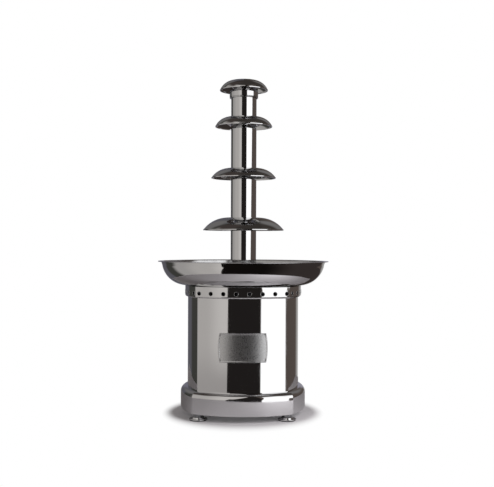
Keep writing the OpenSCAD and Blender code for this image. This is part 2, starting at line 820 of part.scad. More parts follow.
module output_gear() color(brass) difference() {
  union() {
    rotate(180 / gear_teeth - 90) translate([0, 0, gear_z])
      linear_extrude(gear_t) gear_outline(gear_teeth);
    rod(shaft_d * 2, gear_z - gear_hub_proud, gear_t + 2 * gear_hub_proud);
  }
  rod(shaft_bore_d, gear_z - gear_hub_proud - eps, gear_t + 2 * (gear_hub_proud + eps));
}

module drive_shaft() color(steel) {
  rod(shaft_d, lower_plate_z - shaft_tail, shaft_shoulder_z - lower_plate_z + shaft_tail);
  hexagon(hex_af, shaft_shoulder_z - eps, hex_h + eps);
}

module motor_can() color(satin) at_motor() difference() {
  rod(motor_d, motor_z, motor_h);
  rod(motor_d - 2 * motor_wall, motor_z - eps, motor_h - motor_wall + eps);
  rod(rotor_bearing_d, motor_z, motor_h + eps);
}

module motor_tail_cap() color(aluminium) at_motor() difference() {
  rod(motor_d - 2 * motor_wall - 2 * running_gap, motor_z, tail_cap_t);
  rod(rotor_shaft_d + 2 * running_gap, motor_z - eps, tail_cap_t + 2 * eps);
}

module stator() color([0.55, 0.30, 0.18]) at_motor()
  ring(2 * stator_r, 2 * (stator_r - stator_t), stator_z, stator_h);

module rotor_shaft() color(steel) at_motor()
  rod(rotor_shaft_d, rotor_shaft_z, gear_z + gear_t + shaft_tail - rotor_shaft_z);

module rotor_core() color(satin) at_motor()
  ring(2 * rotor_r, rotor_shaft_d + 2 * running_gap, stator_z + rotor_end_gap,
    stator_h - 2 * rotor_end_gap);

module pinion() color(steel) at_motor() difference() {
  rotate(90) translate([0, 0, gear_z - pinion_proud]) linear_extrude(gear_t + 2 * pinion_proud)
    gear_outline(pinion_teeth);
  rod(rotor_shaft_d + 2 * running_gap, gear_z - pinion_proud - eps, gear_t + 2 * (pinion_proud + eps));
}

module cooling_fan() color(black) at_motor() difference() {
  union() {
    rod(fan_hub_d, fan_z, fan_t);
    for (turn = [0:40:320]) rotate(turn) translate([fan_hub_d / 3, -fan_blade_t / 2, fan_z])
      cube([fan_r - fan_hub_d / 3, fan_blade_t, fan_t]);
  }
  rod(rotor_shaft_d + 2 * running_gap, fan_z - eps, fan_t + 2 * eps);
}

// Auger

module auger_core() color(steel) difference() {
  union() {
    rod(auger_core_d, auger_z, auger_top - auger_z);
    rod(boss_d, auger_z, boss_h);
  }
  hexagon(hex_af + 2 * hex_gap, auger_z - eps, shaft_top - auger_z + eps);
}

// Sector that twists up the core, so the flight has one thickness along the axis
module auger_flight() color(steel) {
  width = 360 * flight_t / auger_pitch;
  inner_r = auger_core_d / 2 - flight_bite;
  arc = [for (i = [0:3]) polar(flight_r, width * (i / 3 - 0.5))];
  translate([0, 0, flight_z]) linear_extrude(flight_turns * auger_pitch, twist = -360 * flight_turns,
    slices = ceil(flight_turns * flight_steps), $fn = 6)
    polygon(concat([polar(inner_r, width / 2), polar(inner_r, -width / 2)], arc));
}

// Tower

// Slotted ring that is welded under the tube, where the chocolate is drawn in
module tower_foot() color(steel) difference() {
  ring(tube_d, 2 * tube_bore_r, floor_z, tower_foot_h);
  for (turn = [0, 90]) rotate(turn) {
    translate([-tube_d, -inlet_w / 2, floor_z - eps])
      cube([2 * tube_d, inlet_w, inlet_h - inlet_w / 2 + eps]);
    translate([-tube_d, 0, floor_z + inlet_h - inlet_w / 2]) rotate([0, 90, 0])
      cylinder(h = 2 * tube_d, d = inlet_w);
  }
}

module tower_tube() color(steel) difference() {
  ring(tube_d, 2 * tube_bore_r, tube_z, tube_top_z - tube_z);
  tier_pin_shapes(tier_pin_d + 2 * running_gap, tube_bore_r - eps, tube_r + eps);
}

// Carrying pins under each tier's hub, from an inner to an outer radius
module tier_pin_shapes(d, inner_r, outer_r) {
  for (drop = [lower_drop, middle_drop, upper_drop]) for (i = [0:pin_count - 1])
    rotate(pin_turn + i * 360 / pin_count)
      translate([inner_r, 0, tube_top_z - drop + hub_lift - seat_gap - tier_pin_d / 2])
        rotate([0, 90, 0]) cylinder(h = outer_r - inner_r, d = d);
}

module tier_pins() color(steel)
  tier_pin_shapes(tier_pin_d, tube_bore_r + part_gap, hub_r + hub_wall - part_gap);

// Half section of a dome's sheet about an arc centre c, down to a rim at r
module dome_section(r, rim, dome_r, c, bore_r) {
  centre_z = rim - sqrt(dome_r * dome_r - (r - c) * (r - c));
  reach = 3 * dome_r;
  difference() {
    union() {
      translate([c, centre_z]) circle(dome_r, $fn = 180);
      if (c > bore_r) translate([bore_r, centre_z + dome_r - tier_wall]) square([c - bore_r, tier_wall]);
    }
    translate([c, centre_z]) circle(dome_r - tier_wall, $fn = 180);
    translate([-reach, rim - reach]) square([2 * reach, reach]);
    translate([bore_r - reach, rim - reach]) square([reach, 2 * reach]);
  }
  translate([r - bead_r, rim]) circle(bead_r);
}

// A tier: domed sheet with a beaded rim and a hub that slides on the tube
module tier(r, drop, dome_r, c) {
  rim = tube_top_z - drop;
  top = rim - sqrt(dome_r * dome_r - (r - c) * (r - c)) + dome_r;
  rotate_extrude($fn = 180) {
    dome_section(r, rim, dome_r, c, hub_r);
    translate([hub_r, rim + hub_lift]) square([hub_wall, top - tier_wall / 2 - rim - hub_lift]);
  }
}

module lower_tier() color(steel) tier(lower_r, lower_drop, lower_dome_r, lower_dome_c);

module middle_tier() color(steel) tier(middle_r, middle_drop, middle_dome_r, middle_dome_c);

module upper_tier() color(steel) tier(upper_r, upper_drop, upper_dome_r, upper_dome_c);

module crown() color(steel) {
  rim = tube_top_z - crown_drop;
  reach = crown_r - crown_dome_c;
  centre_z = rim - sqrt(crown_dome_r * crown_dome_r - reach * reach);
  sleeve_r = hub_r + sleeve_wall;
  sleeve_z = tube_top_z - sleeve_h;
  rotate_extrude($fn = 180) {
    dome_section(crown_r, rim, crown_dome_r, crown_dome_c, tube_bore_r);
    intersection() {
      translate([tube_bore_r, tube_top_z]) square([sleeve_r - tube_bore_r, crown_dome_r]);
      translate([crown_dome_c, centre_z]) circle(crown_dome_r - tier_wall / 2, $fn = 180);
    }
    translate([hub_r, sleeve_z + sleeve_bead]) intersection() {
      square([sleeve_wall, sleeve_h]);
      translate([crown_dome_c - hub_r, centre_z - sleeve_z - sleeve_bead])
        circle(crown_dome_r - tier_wall / 2, $fn = 180);
    }
    translate([hub_r + sleeve_bead, sleeve_z + sleeve_bead]) circle(sleeve_bead);
  }
}

// Feet

module foot_bushes() color(satin) for (i = [0:3]) at_foot(i)
  ring(bush_d, foot_stud_d + 2 * running_gap, skirt_z, bush_h);

module foot_pad(i) color(rubber) at_foot(i) difference() {
  union() {
    rotate_extrude() disc_section(foot_pad_d / 2, pad_lip_h, pad_lip_r, 0);
    rotate_extrude() disc_section(pad_top_d / 2, pad_h, pad_dome_r, 0);
  }
  rod(foot_stud_d + 2 * running_gap, pad_h - pad_socket_h, pad_socket_h + eps);
}

module foot_stud(i) color(steel) at_foot(i) {
  rod(foot_stud_d, pad_h - pad_socket_h, foot_gap - pad_h + pad_socket_h + stud_l);
  hexagon(lock_nut_af, pad_h, lock_nut_h);
}

base_plate();
plinth_skirt();
body_shell();
vent_collar();
deck_plate();
tie_rods();
tie_rod_nuts();
badge_plate();
bowl();
neck_bush();
neck_nut();
shaft_seal();
heater_plate();
heater_element();
heater_posts();
thermostat_bulb();
control_panel();
thermostat();
knob_spindle();
knob();
switch_bezels();
motor_rocker();
heat_rocker();
pilot_lamp();
fuse_holder();
power_inlet();
inlet_pins();
inlet_screws();
upper_gear_plate();
lower_gear_plate();
gear_posts();
shaft_bearings();
output_gear();
drive_shaft();
motor_can();
motor_tail_cap();
stator();
rotor_shaft();
rotor_core();
pinion();
cooling_fan();
auger_core();
auger_flight();
tower_foot();
tower_tube();
tier_pins();
lower_tier();
middle_tier();
upper_tier();
crown();
foot_bushes();
foot_pad(0);  // pad_front_left
foot_pad(1);  // pad_front_right
foot_pad(2);  // pad_rear_right
foot_pad(3);  // pad_rear_left
foot_stud(0);  // stud_front_left
foot_stud(1);  // stud_front_right
foot_stud(2);  // stud_rear_right
foot_stud(3);  // stud_rear_left
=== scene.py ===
import math

import bpy
from mathutils import Matrix, Vector


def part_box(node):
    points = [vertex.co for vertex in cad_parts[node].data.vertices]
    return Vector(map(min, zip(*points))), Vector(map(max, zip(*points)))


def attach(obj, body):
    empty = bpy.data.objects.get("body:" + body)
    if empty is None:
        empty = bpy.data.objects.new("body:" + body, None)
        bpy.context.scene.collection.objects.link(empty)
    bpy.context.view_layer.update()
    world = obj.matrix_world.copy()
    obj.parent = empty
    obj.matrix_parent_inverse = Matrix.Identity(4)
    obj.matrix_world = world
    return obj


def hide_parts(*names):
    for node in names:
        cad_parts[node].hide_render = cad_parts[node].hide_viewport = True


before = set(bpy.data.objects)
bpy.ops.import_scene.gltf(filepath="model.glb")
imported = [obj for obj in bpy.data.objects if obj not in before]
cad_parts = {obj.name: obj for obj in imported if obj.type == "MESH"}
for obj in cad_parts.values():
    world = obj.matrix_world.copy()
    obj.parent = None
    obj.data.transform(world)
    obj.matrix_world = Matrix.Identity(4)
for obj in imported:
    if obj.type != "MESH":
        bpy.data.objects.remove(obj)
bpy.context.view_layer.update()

# The photograph's camera: a short telephoto lens, level, a little above the bowl's rim and turned
# by a fifth of a degree, so that the tower leans as it does in the picture. Pixels are the photograph's.
photo_width = 494
focal_length_px = 860
tower_axis_px = 243.4
camera_distance = 1.72
camera_height = 0.336
camera_roll = math.radians(-0.21)
camera_data = bpy.data.cameras.new("photo_camera")
camera_data.sensor_width = 36
camera_data.lens = focal_length_px / photo_width * camera_data.sensor_width
camera = bpy.data.objects.new("photo_camera", camera_data)
camera_side = (photo_width / 2 - tower_axis_px) * camera_distance / focal_length_px
camera.location = (camera_side, -camera_distance, camera_height)
camera.rotation_euler = (math.radians(90), camera_roll, 0)
bpy.context.scene.collection.objects.link(camera)
bpy.context.scene.camera = camera
bpy.context.scene.view_settings.view_transform = "Standard"


# Base plate: stainless sheet, laser cut and buffed. It stands on the four feet and carries everything else,
# and its edge shows below the plinth.
MM = 0.001
noise_low, noise_high = 0.3, 0.7


def linear(hex_colour):
    """An sRGB hex colour as linear RGBA."""
    parts = [int(hex_colour[i:i + 2], 16) / 255 for i in (1, 3, 5)]
    return [c / 12.92 if c <= 0.04045 else ((c + 0.055) / 1.055) ** 2.4 for c in parts] + [1]


def add(tree, kind, settings=None, **links):
    """Adds a node: settings are its properties or socket values, links are what feeds its sockets."""
    made = tree.nodes.new(kind)
    for name, value in (settings or {}).items():
        if isinstance(name, int) or name in made.inputs:
            made.inputs[name].default_value = value
        else:
            setattr(made, name, value)
    for name, source in links.items():
        slot = int(name[1:]) if name[0] == "_" else name.replace("_", " ")
        tree.links.new(source, made.inputs[slot])
    return made


def surface(name, hex_colour, metallic, roughness):
    """A new material: returns it with its node tree, its shader and the object's coordinates."""
    material = bpy.data.materials.new(name)
    material.use_nodes = True
    tree = material.node_tree
    shader = tree.nodes["Principled BSDF"]
    shader.inputs["Base Color"].default_value = linear(hex_colour)
    shader.inputs["Metallic"].default_value = metallic
    shader.inputs["Roughness"].default_value = roughness
    place = add(tree, "ShaderNodeTexCoord").outputs["Object"]
    return material, tree, shader, place


def noise(tree, place, grain, detail=2):
    """A noise pattern with grains of a real size."""
    settings = {"Scale": 1 / grain, "Detail": detail}
    return add(tree, "ShaderNodeTexNoise", settings, Vector=place).outputs["Fac"]


def vary_roughness(tree, shader, factor, low, high):
    """Spreads a shader's roughness between two values by a factor, over the range that noise mostly has."""
    limits = {"From Min": noise_low, "From Max": noise_high, "To Min": low, "To Max": high}
    spread = add(tree, "ShaderNodeMapRange", limits, Value=factor)
    tree.links.new(spread.outputs["Result"], shader.inputs["Roughness"])


def emboss(tree, shader, height, strength, depth):
    """Bumps a shader by a height, to a real depth."""
    bump = add(tree, "ShaderNodeBump", {"Strength": strength, "Distance": depth}, Height=height)
    tree.links.new(bump.outputs["Normal"], shader.inputs["Normal"])


def paint(material, *names):
    """Gives CAD nodes a material."""
    for name in names:
        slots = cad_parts[name].data.materials
        slots.clear()
        slots.append(material)


def polished_steel(name, hex_colour="#D9D9DA", roughness=0.045):
    """Stainless steel buffed to a mirror: clean reflections that bend a little where the sheet
    was drawn, and a faint haze in patches of about 30 mm where the buffing differs."""
    material, tree, shader, place = surface(name, hex_colour, 1, roughness)
    vary_roughness(tree, shader, noise(tree, place, 30 * MM, 4), roughness * 0.6, roughness * 1.5)
    emboss(tree, shader, noise(tree, place, 60 * MM, 1), 0.1, 0.3 * MM)
    return material


mirror = polished_steel("mirror_polished_steel")
paint(mirror, "base_plate")


# Tie rods, nuts and deck: zinc-plated steel, turned or laser cut. Four rods clamp the deck, the collar, the
# body and the plinth down onto the base plate.
def two_tone(tree, shader, factor, dark, light):
    """Colours a shader between two hex colours by a factor."""
    ramp = add(tree, "ShaderNodeValToRGB", Fac=factor)
    ramp.color_ramp.elements[0].color = linear(dark)
    ramp.color_ramp.elements[1].color = linear(light)
    tree.links.new(ramp.outputs["Color"], shader.inputs["Base Color"])


def zinc_plated_steel():
    """Zinc plate over steel: a dull grey with a faint crystalline mottle of about 4 mm."""
    material, tree, shader, place = surface("zinc_plated_steel", "#9A9C9E", 1, 0.38)
    mottle = add(tree, "ShaderNodeTexVoronoi", {"Scale": 1 / (4 * MM)}, Vector=place).outputs["Distance"]
    two_tone(tree, shader, mottle, "#85888B", "#AEB0B1")
    vary_roughness(tree, shader, mottle, 0.28, 0.46)
    return material


zinc = zinc_plated_steel()
paint(zinc, "tie_rods", "tie_rod_nuts", "deck_plate")


# Levelling feet: a turned and polished steel cap over a moulded rubber sole, on a zinc-plated screw with
# a hexagon. Each screw runs in a bush that is welded to the base plate.
corners = ["front_left", "front_right", "rear_right", "rear_left"]
foot_sole_h = 1.6 * MM
foot_sole_edge = 0.5 * MM
foot_lip_r = 1.1 * MM
foot_lip_h = 3.4 * MM
foot_dome_r = 12 * MM
foot_dome_edge = 2.4 * MM
foot_flare = 0.8 * MM
foot_slope = 15
foot_socket_r = 5.05 * MM
foot_turns = 64
sharp_angle = 40


def moulded_rubber():
    """Nitrile rubber from a mould: near black and dull, with a fine grain of 0.6 mm."""
    material, tree, shader, place = surface("moulded_rubber", "#1B1B1C", 0, 0.62)
    grain = noise(tree, place, 0.6 * MM)
    two_tone(tree, shader, grain, "#151515", "#262627")
    emboss(tree, shader, grain, 0.3, 0.1 * MM)
    return material


rubber = moulded_rubber()


def arc(centre_r, centre_z, radius, start, end, steps):
    """Points (r, z) on an arc, with angles in degrees from the outward horizontal."""
    angles = [math.radians(start + (end - start) * i / steps) for i in range(steps + 1)]
    return [(centre_r + radius * math.cos(a), centre_z + radius * math.sin(a)) for a in angles]


def ring_faces(ring_count, ring_size, capped):
    """Faces between rings of points, the last ring joined to the first or both closed with a cap."""
    faces = []
    for i in range(ring_count - capped):
        a, b = i * ring_size, (i + 1) % ring_count * ring_size
        for k in range(ring_size):
            n = (k + 1) % ring_size
            faces.append((b + k, b + n, a + n, a + k))
    if capped:
        last = (ring_count - 1) * ring_size
        faces += [tuple(range(ring_size)), tuple(range(last + ring_size - 1, last - 1, -1))]
    return faces


def turned(profile, at=Matrix(), turns=192, capped=False):
    """Points and faces of a profile of (r, z) points, clockwise with r to the right, turned about an axis."""
    steps = [2 * math.pi * k / turns for k in range(turns)]
    points = [at @ Vector((r * math.cos(a), r * math.sin(a), z)) for r, z in profile for a in steps]
    return points, ring_faces(len(profile), turns, capped)


def mesh_of(name, shapes):
    """One mesh of several shapes, each of them points and faces."""
    points, faces = [], []
    for shape_points, shape_faces in shapes:
        faces += [[len(points) + i for i in face] for face in shape_faces]
        points += shape_points
    mesh = bpy.data.meshes.new(name)
    mesh.from_pydata(points, [], faces)
    mesh.validate()
    return mesh


def finish_shading(made, sharp):
    """Smooth shading in which broad faces keep their own direction beside small fillets."""
    made.data.shade_smooth()
    made.data.set_sharp_from_angle(angle=math.radians(sharp))
    weigh = made.modifiers.new("broad_faces_first", "WEIGHTED_NORMAL")
    weigh.keep_sharp = True


def piece(name, shapes, material, body, replaced=(), sharp=sharp_angle):
    """A piece of one or more shapes that rides on a body and stands for CAD nodes."""
    made = bpy.data.objects.new(name, mesh_of(name, shapes))
    made.data.materials.append(material)
    bpy.context.scene.collection.objects.link(made)
    finish_shading(made, sharp)
    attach(made, body)
    if replaced:
        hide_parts(*replaced)
    return made


for corner in corners:
    low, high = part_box("pad_" + corner)
    spot = Matrix.Translation(((low.x + high.x) / 2, (low.y + high.y) / 2, 0))
    pad_r = (high.x - low.x) / 2
    cap = [(foot_socket_r, high.z)]
    cap += arc(foot_dome_r - foot_dome_edge, high.z - foot_dome_edge, foot_dome_edge, 90, foot_slope, 6)
    cap += [(foot_dome_r + foot_flare, foot_lip_h)]
    cap += arc(pad_r - foot_lip_r, foot_sole_h + foot_lip_r, foot_lip_r, 90 - foot_slope, -90, 8)
    cap += [(foot_socket_r, foot_sole_h)]
    piece("foot_cap_" + corner, [turned(cap, spot, foot_turns)], mirror, corner + "_pad")
    sole_r = pad_r - foot_lip_r
    sole = [(sole_r, foot_sole_h)]
    sole += arc(sole_r - foot_sole_edge, foot_sole_edge, foot_sole_edge, 0, -90, 4)
    piece("foot_sole_" + corner, [turned(sole, spot, foot_turns, True)], rubber, corner + "_pad",
          ("pad_" + corner,))
    paint(zinc, "stud_" + corner)
paint(zinc, "foot_bushes")


# Plinth skirt: stainless sheet with four bowed faces and a wide rounded top edge, pressed, welded at
# its corners, ground and buffed. It stands on the base plate and carries the body.
face_bow = 55 * MM
sheet = 1.2 * MM
plinth_edge_r = 11 * MM
plinth_edge_steps = 14
plinth_corner_r = 3 * MM
plinth_flange = 25.5 * MM
crisp_corner_r = 0.05 * MM


def bowed_outline(half, corner_r, face_steps=40, corner_steps=6):
    """Points round a square whose sides bow out to a reach of half."""
    face_r = half + face_bow
    nook = (math.sqrt(2 * (face_r - corner_r) ** 2 - face_bow ** 2) - face_bow) / 2
    turn = math.atan2(nook, nook + face_bow)
    corner_turn = math.pi / 2 - 2 * turn
    side = []
    for i in range(face_steps):
        a = turn * (2 * i / face_steps - 1)
        side.append((face_r * math.sin(a), face_bow - face_r * math.cos(a)))
    for i in range(corner_steps):
        a = turn + corner_turn * i / corner_steps
        side.append((nook + corner_r * math.sin(a), -nook - corner_r * math.cos(a)))
    return [(x * c - y * s, x * s + y * c) for c, s in ((1, 0), (0, 1), (-1, 0), (0, -1)) for x, y in side]


def bowed(half, corner_r, profile):
    """Points and faces of a closed profile of (inset, z) points, clockwise with the inset to the left, that
    runs round a square with bowed sides."""
    points = []
    for inset, z in profile:
        points += [(x, y, z) for x, y in bowed_outline(half - inset, max(corner_r - inset, crisp_corner_r))]
    return points, ring_faces(len(profile), len(points) // len(profile), False)


def inset_arc(inset, centre_z, radius, start, end, steps):
    """Points (inset, z) on an arc whose centre lies inside an outline, with angles as for arc."""
    return [(inset - r, z) for r, z in arc(0, centre_z, radius, start, end, steps)]


low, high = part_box("plinth_skirt")
edge_z = high.z - plinth_edge_r
skirt = [(plinth_flange, high.z)]
skirt += inset_arc(plinth_edge_r, edge_z, plinth_edge_r, 90, 0, plinth_edge_steps)
skirt += [(0, low.z), (sheet, low.z)]
skirt += inset_arc(plinth_edge_r, edge_z, plinth_edge_r - sheet, 0, 90, plinth_edge_steps)
skirt += [(plinth_flange, high.z - sheet)]
piece("plinth", [bowed(high.x, plinth_corner_r, skirt)], mirror, "base", ("plinth_skirt",))


# Body: one wrapped stainless sheet with bowed faces, buffed to a mirror, with a cutout at the back for
# the control panel. It stands on the plinth and is held down by the collar and the tie rods.
body_corner_r = 6 * MM
cutout_gap = 0.3 * MM
panel_corner_r = 4 * MM
panel_low, panel_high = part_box("control_panel")
panel_depth = panel_high.y - panel_low.y
panel_half_w = panel_high.x
panel_half_h = (panel_high.z - panel_low.z) / 2
panel_z = (panel_high.z + panel_low.z) / 2


def rounded_rectangle(half_w, half_h, corner_r, steps=6):
    """Points round a rectangle with rounded corners."""
    points = []
    for turn, side, end in ((0, 1, 1), (90, -1, 1), (180, -1, -1), (270, 1, -1)):
        points += arc(side * (half_w - corner_r), end * (half_h - corner_r), corner_r, turn, turn + 90, steps)
    return points


def swept(outline, profile, at=Matrix(), capped=False):
    """Points and faces of a profile of (inset, z) points, clockwise with the inset to the left, that runs
    round an outline of (x, y) points."""
    directions = []
    for i, (x, y) in enumerate(outline):
        (ax, ay), (bx, by) = outline[i - 1], outline[(i + 1) % len(outline)]
        before, after = Vector((y - ay, ax - x)).normalized(), Vector((by - y, x - bx)).normalized()
        directions.append((before + after) / (1 + before.dot(after)))
    points = [at @ Vector((x - d.x * inset, y - d.y * inset, z))
              for inset, z in profile for (x, y), d in zip(outline, directions)]
    return points, ring_faces(len(profile), len(outline), capped)


def out_of_panel(x, z, depth=0):
    """Turns +Z out of the panel's face at the back, from a depth behind a point of it."""
    return Matrix.Translation((x, panel_high.y - depth, z)) @ Matrix.Rotation(math.radians(-90), 4, "X")


def cut(made, *shapes, wall_material=None):
    """Takes closed shapes out of a piece, with a material for the cut walls, then shades it again."""
    tool = bpy.data.objects.new("cutter", mesh_of("cutter", shapes))
    if wall_material:
        made.data.materials.append(wall_material)
        for polygon in tool.data.polygons:
            polygon.material_index = len(made.data.materials) - 1
    bpy.context.scene.collection.objects.link(tool)
    made.modifiers.clear()
    taking = made.modifiers.new("cut", "BOOLEAN")
    taking.object = tool
    taking.solver = "EXACT"
    bpy.context.view_layer.update()
    whole = made.data
    made.data = bpy.data.meshes.new_from_object(made.evaluated_get(bpy.context.evaluated_depsgraph_get()))
    made.modifiers.clear()
    bpy.data.meshes.remove(tool.data)
    bpy.data.meshes.remove(whole)
    finish_shading(made, sharp_angle)


low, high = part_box("body_shell")
wall = [(0, high.z), (0, low.z), (sheet, low.z), (sheet, high.z)]
body_piece = piece("body", [bowed(high.x, body_corner_r, wall)], mirror, "base",
                   ("body_shell",))
cutout = rounded_rectangle(panel_half_w + cutout_gap, panel_half_h + cutout_gap, panel_corner_r)
cut(body_piece, swept(cutout, [(0, panel_depth), (0, -2 * panel_depth)], out_of_panel(0, panel_z), True))


# Badge: a blank plate of satin stainless steel with bulging sides and a raised border, pressed, rolled to the
# curve of the front face and bonded to it.
badge_bulge = 3 * MM
badge_border = 2 * MM
badge_slope = 1 * MM
badge_relief = 0.5 * MM
badge_t = 1 * MM
badge_edge = 0.3 * MM
badge_columns, badge_rows = 28, 8
badge_sharp_angle = 25


def satin_steel():
    """Stainless steel with a fine matt finish: blurred reflections and a faint mottle of about 2 mm."""
    material, tree, shader, place = surface("satin_steel", "#CACACB", 1, 0.29)
    mottle = noise(tree, place, 2 * MM, 3)
    two_tone(tree, shader, mottle, "#BEBEBF", "#D8D8D9")
    vary_roughness(tree, shader, mottle, 0.25, 0.33)
    emboss(tree, shader, mottle, 0.05, 0.05 * MM)
    return material


satin = satin_steel()
low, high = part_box("badge_plate")
badge_back_r = face_bow - low.y - badge_t
badge_half_w, badge_half_h = high.x, (high.z - low.z) / 2
bulge_r = (badge_half_h ** 2 + badge_bulge ** 2) / (2 * badge_bulge)
recess = badge_border + badge_slope
badge_insets = [0, badge_edge, badge_border, recess]
badge_levels = [badge_t - badge_edge, badge_t, badge_t, badge_t - badge_relief]


def badge_lines(inner):
    """Grid lines across the badge: each is a share of the half width, drawn in by an inset."""
    border = [(1, inset) for inset in badge_insets]
    middle = [(2 * k / inner - 1, recess) for k in range(1, inner)]
    return [(-1, inset) for _, inset in border] + middle + border[::-1]


across, upward = badge_lines(badge_columns), badge_lines(badge_rows)
badge_points, badge_faces = [], []
for layer in (1, 0):
    for j, (row_share, row_inset) in enumerate(upward):
        up = row_share * (badge_half_h - row_inset)
        side_x = badge_half_w - bulge_r + math.sqrt(bulge_r ** 2 - up ** 2)
        for k, (share, inset) in enumerate(across):
            ring = min(j, len(upward) - 1 - j, k, len(across) - 1 - k, len(badge_levels) - 1)
            x, r = share * (side_x - inset), badge_back_r + layer * badge_levels[ring]
            badge_points.append((x, face_bow - math.sqrt(r ** 2 - x ** 2), (low.z + high.z) / 2 + up))
size = len(across)
back = size * len(upward)
for j in range(len(upward) - 1):
    for k in range(size - 1):
        a = j * size + k
        face = (a, a + 1, a + size + 1, a + size)
        badge_faces += [face, tuple(back + i for i in reversed(face))]
edge = list(range(size)) + list(range(2 * size - 1, back, size)) + list(range(back - 2, back - size - 1, -1))
edge += list(range(back - 2 * size, 0, -size))
badge_faces += [(back + a, back + b, b, a) for a, b in zip(edge, edge[1:] + edge[:1])]
piece("badge", [(badge_points, badge_faces)], satin, "base", ("badge_plate",),
      badge_sharp_angle)


# Control panel: a tray of brushed stainless sheet, set in the body's cutout at the back, with printed marks.
# It carries the thermostat with its knob, two rocker switches, a pilot lamp, a fuse and the power inlet.
panel_edge_r = 1 * MM
panel_wall = 1.5 * MM
ink_t = 0.05 * MM
knob_x, knob_z = -34 * MM, 160 * MM
rocker_xs = (10 * MM, 36 * MM)
rocker_z = 160 * MM
rocker_hole_half_w, rocker_hole_half_h = 6.4 * MM, 10.4 * MM
socket_hole_half_w, socket_hole_half_h = 14.5 * MM, 10.5 * MM
hole_corner_r = 1 * MM
inlet_x, fitting_z = -24 * MM, 120 * MM
lamp_x, fuse_x = 16 * MM, 40 * MM
scratch_w, scratch_l = 1 * MM, 50 * MM


def brushed_steel():
    """Stainless sheet brushed level: long scratches that blur the reflections, drawn about 1 mm wide so that
    they show."""
    material, tree, shader, place = surface("brushed_steel", "#C2C2C3", 1, 0.28)
    stretch = {"Scale": (scratch_w / scratch_l, 1, 1)}
    stretched = add(tree, "ShaderNodeMapping", stretch, Vector=place).outputs["Vector"]
    scratches = noise(tree, stretched, scratch_w, 1)
    two_tone(tree, shader, scratches, "#B4B4B5", "#CECECF")
    vary_roughness(tree, shader, scratches, 0.24, 0.34)
    emboss(tree, shader, scratches, 0.1, 0.01 * MM)
    return material


brushed = brushed_steel()
tray = inset_arc(panel_edge_r, -panel_edge_r, panel_edge_r, 90, 0, 4)
tray += [(0, -panel_depth), (panel_wall, -panel_depth), (panel_wall, -panel_wall)]
panel_outline = rounded_rectangle(panel_half_w, panel_half_h, panel_corner_r)
panel = piece("control_panel_tray", [swept(panel_outline, tray, out_of_panel(0, panel_z), True)], brushed,
              "base", ("control_panel",))
through = [(0, 2 * panel_wall), (0, -2 * panel_wall)]
rocker_hole = rounded_rectangle(rocker_hole_half_w, rocker_hole_half_h, hole_corner_r)
socket_hole = rounded_rectangle(socket_hole_half_w, socket_hole_half_h, hole_corner_r)
cut(panel, swept(socket_hole, through, out_of_panel(inlet_x, fitting_z), True),
    *[swept(rocker_hole, through, out_of_panel(x, rocker_z), True) for x in rocker_xs])


def printed_ink(name, hex_colour):
    """Screen-printed ink: flat colour, a little uneven over 1 mm."""
    material, tree, shader, place = surface(name, hex_colour, 0, 0.55)
    vary_roughness(tree, shader, noise(tree, place, 1 * MM), 0.48, 0.62)
    return material


black_ink = printed_ink("black_ink", "#1A1A1A")
dial_start, dial_sweep, dial_ticks = 45, 270, 10
dial_r = 19 * MM
tick_half_w, tick_half_l, tick_growth = 0.55 * MM, 0.9 * MM, 0.16 * MM
switch_mark_rise = 15.5 * MM
switch_bar_half_w, switch_bar_half_h = 0.5 * MM, 2 * MM
ring_bore_r, ring_r, ring_turns = 1.3 * MM, 2.2 * MM, 32
mark_roundness = 0.95


def mark(half_w, half_h, at):
    """A printed bar with rounded ends."""
    outline = rounded_rectangle(half_w, half_h, min(half_w, half_h) * mark_roundness)
    return swept(outline, [(0, ink_t), (0, 0)], at, True)


marks = []
for i in range(dial_ticks + 1):
    turn = Matrix.Rotation(math.radians(dial_start - dial_sweep * i / dial_ticks), 4, "Z")
    half_l = tick_half_l + tick_growth * i
    spot = out_of_panel(knob_x, knob_z) @ turn @ Matrix.Translation((dial_r + half_l, 0, 0))
    marks.append(mark(half_l, tick_half_w, spot))
switch_ring = [(ring_bore_r, ink_t), (ring_r, ink_t), (ring_r, 0), (ring_bore_r, 0)]
for x in rocker_xs:
    marks.append(mark(switch_bar_half_w, switch_bar_half_h, out_of_panel(x, rocker_z + switch_mark_rise)))
    marks.append(turned(switch_ring, out_of_panel(x, rocker_z - switch_mark_rise), ring_turns))
piece("panel_marks", marks, black_ink, "base")


def moulded_plastic(name, dark, light, roughness):
    """Moulded plastic: one colour with a fine spark-eroded grain of 0.5 mm."""
    material, tree, shader, place = surface(name, light, 0, roughness)
    grain = noise(tree, place, 0.5 * MM)
    two_tone(tree, shader, grain, dark, light)
    vary_roughness(tree, shader, grain, roughness * 0.9, roughness * 1.15)
    emboss(tree, shader, grain, 0.2, 0.05 * MM)
    return material


black_plastic = moulded_plastic("black_plastic", "#131314", "#1E1E20", 0.4)
paint(black_plastic, "thermostat")
paint(satin, "knob_spindle")


# Thermostat knob: moulded black plastic with a skirt, finger grips and a white pointer. It is pushed onto the
# thermostat's spindle and turns over the printed dial.
knob_gap, knob_h, knob_skirt_h, knob_edge_r = 0.6 * MM, 16 * MM, 3 * MM, 1.5 * MM
knob_skirt_r, knob_grip_r, knob_grip_depth, knob_grips = 16 * MM, 13 * MM, 1.1 * MM, 18
knob_bore_r, skirt_edge, grip_steps, knob_turns = 3.1 * MM, 0.6 * MM, 12, 96
pointer_half_w = 0.6 * MM
white_ink = printed_ink("white_ink", "#E8E8E4")
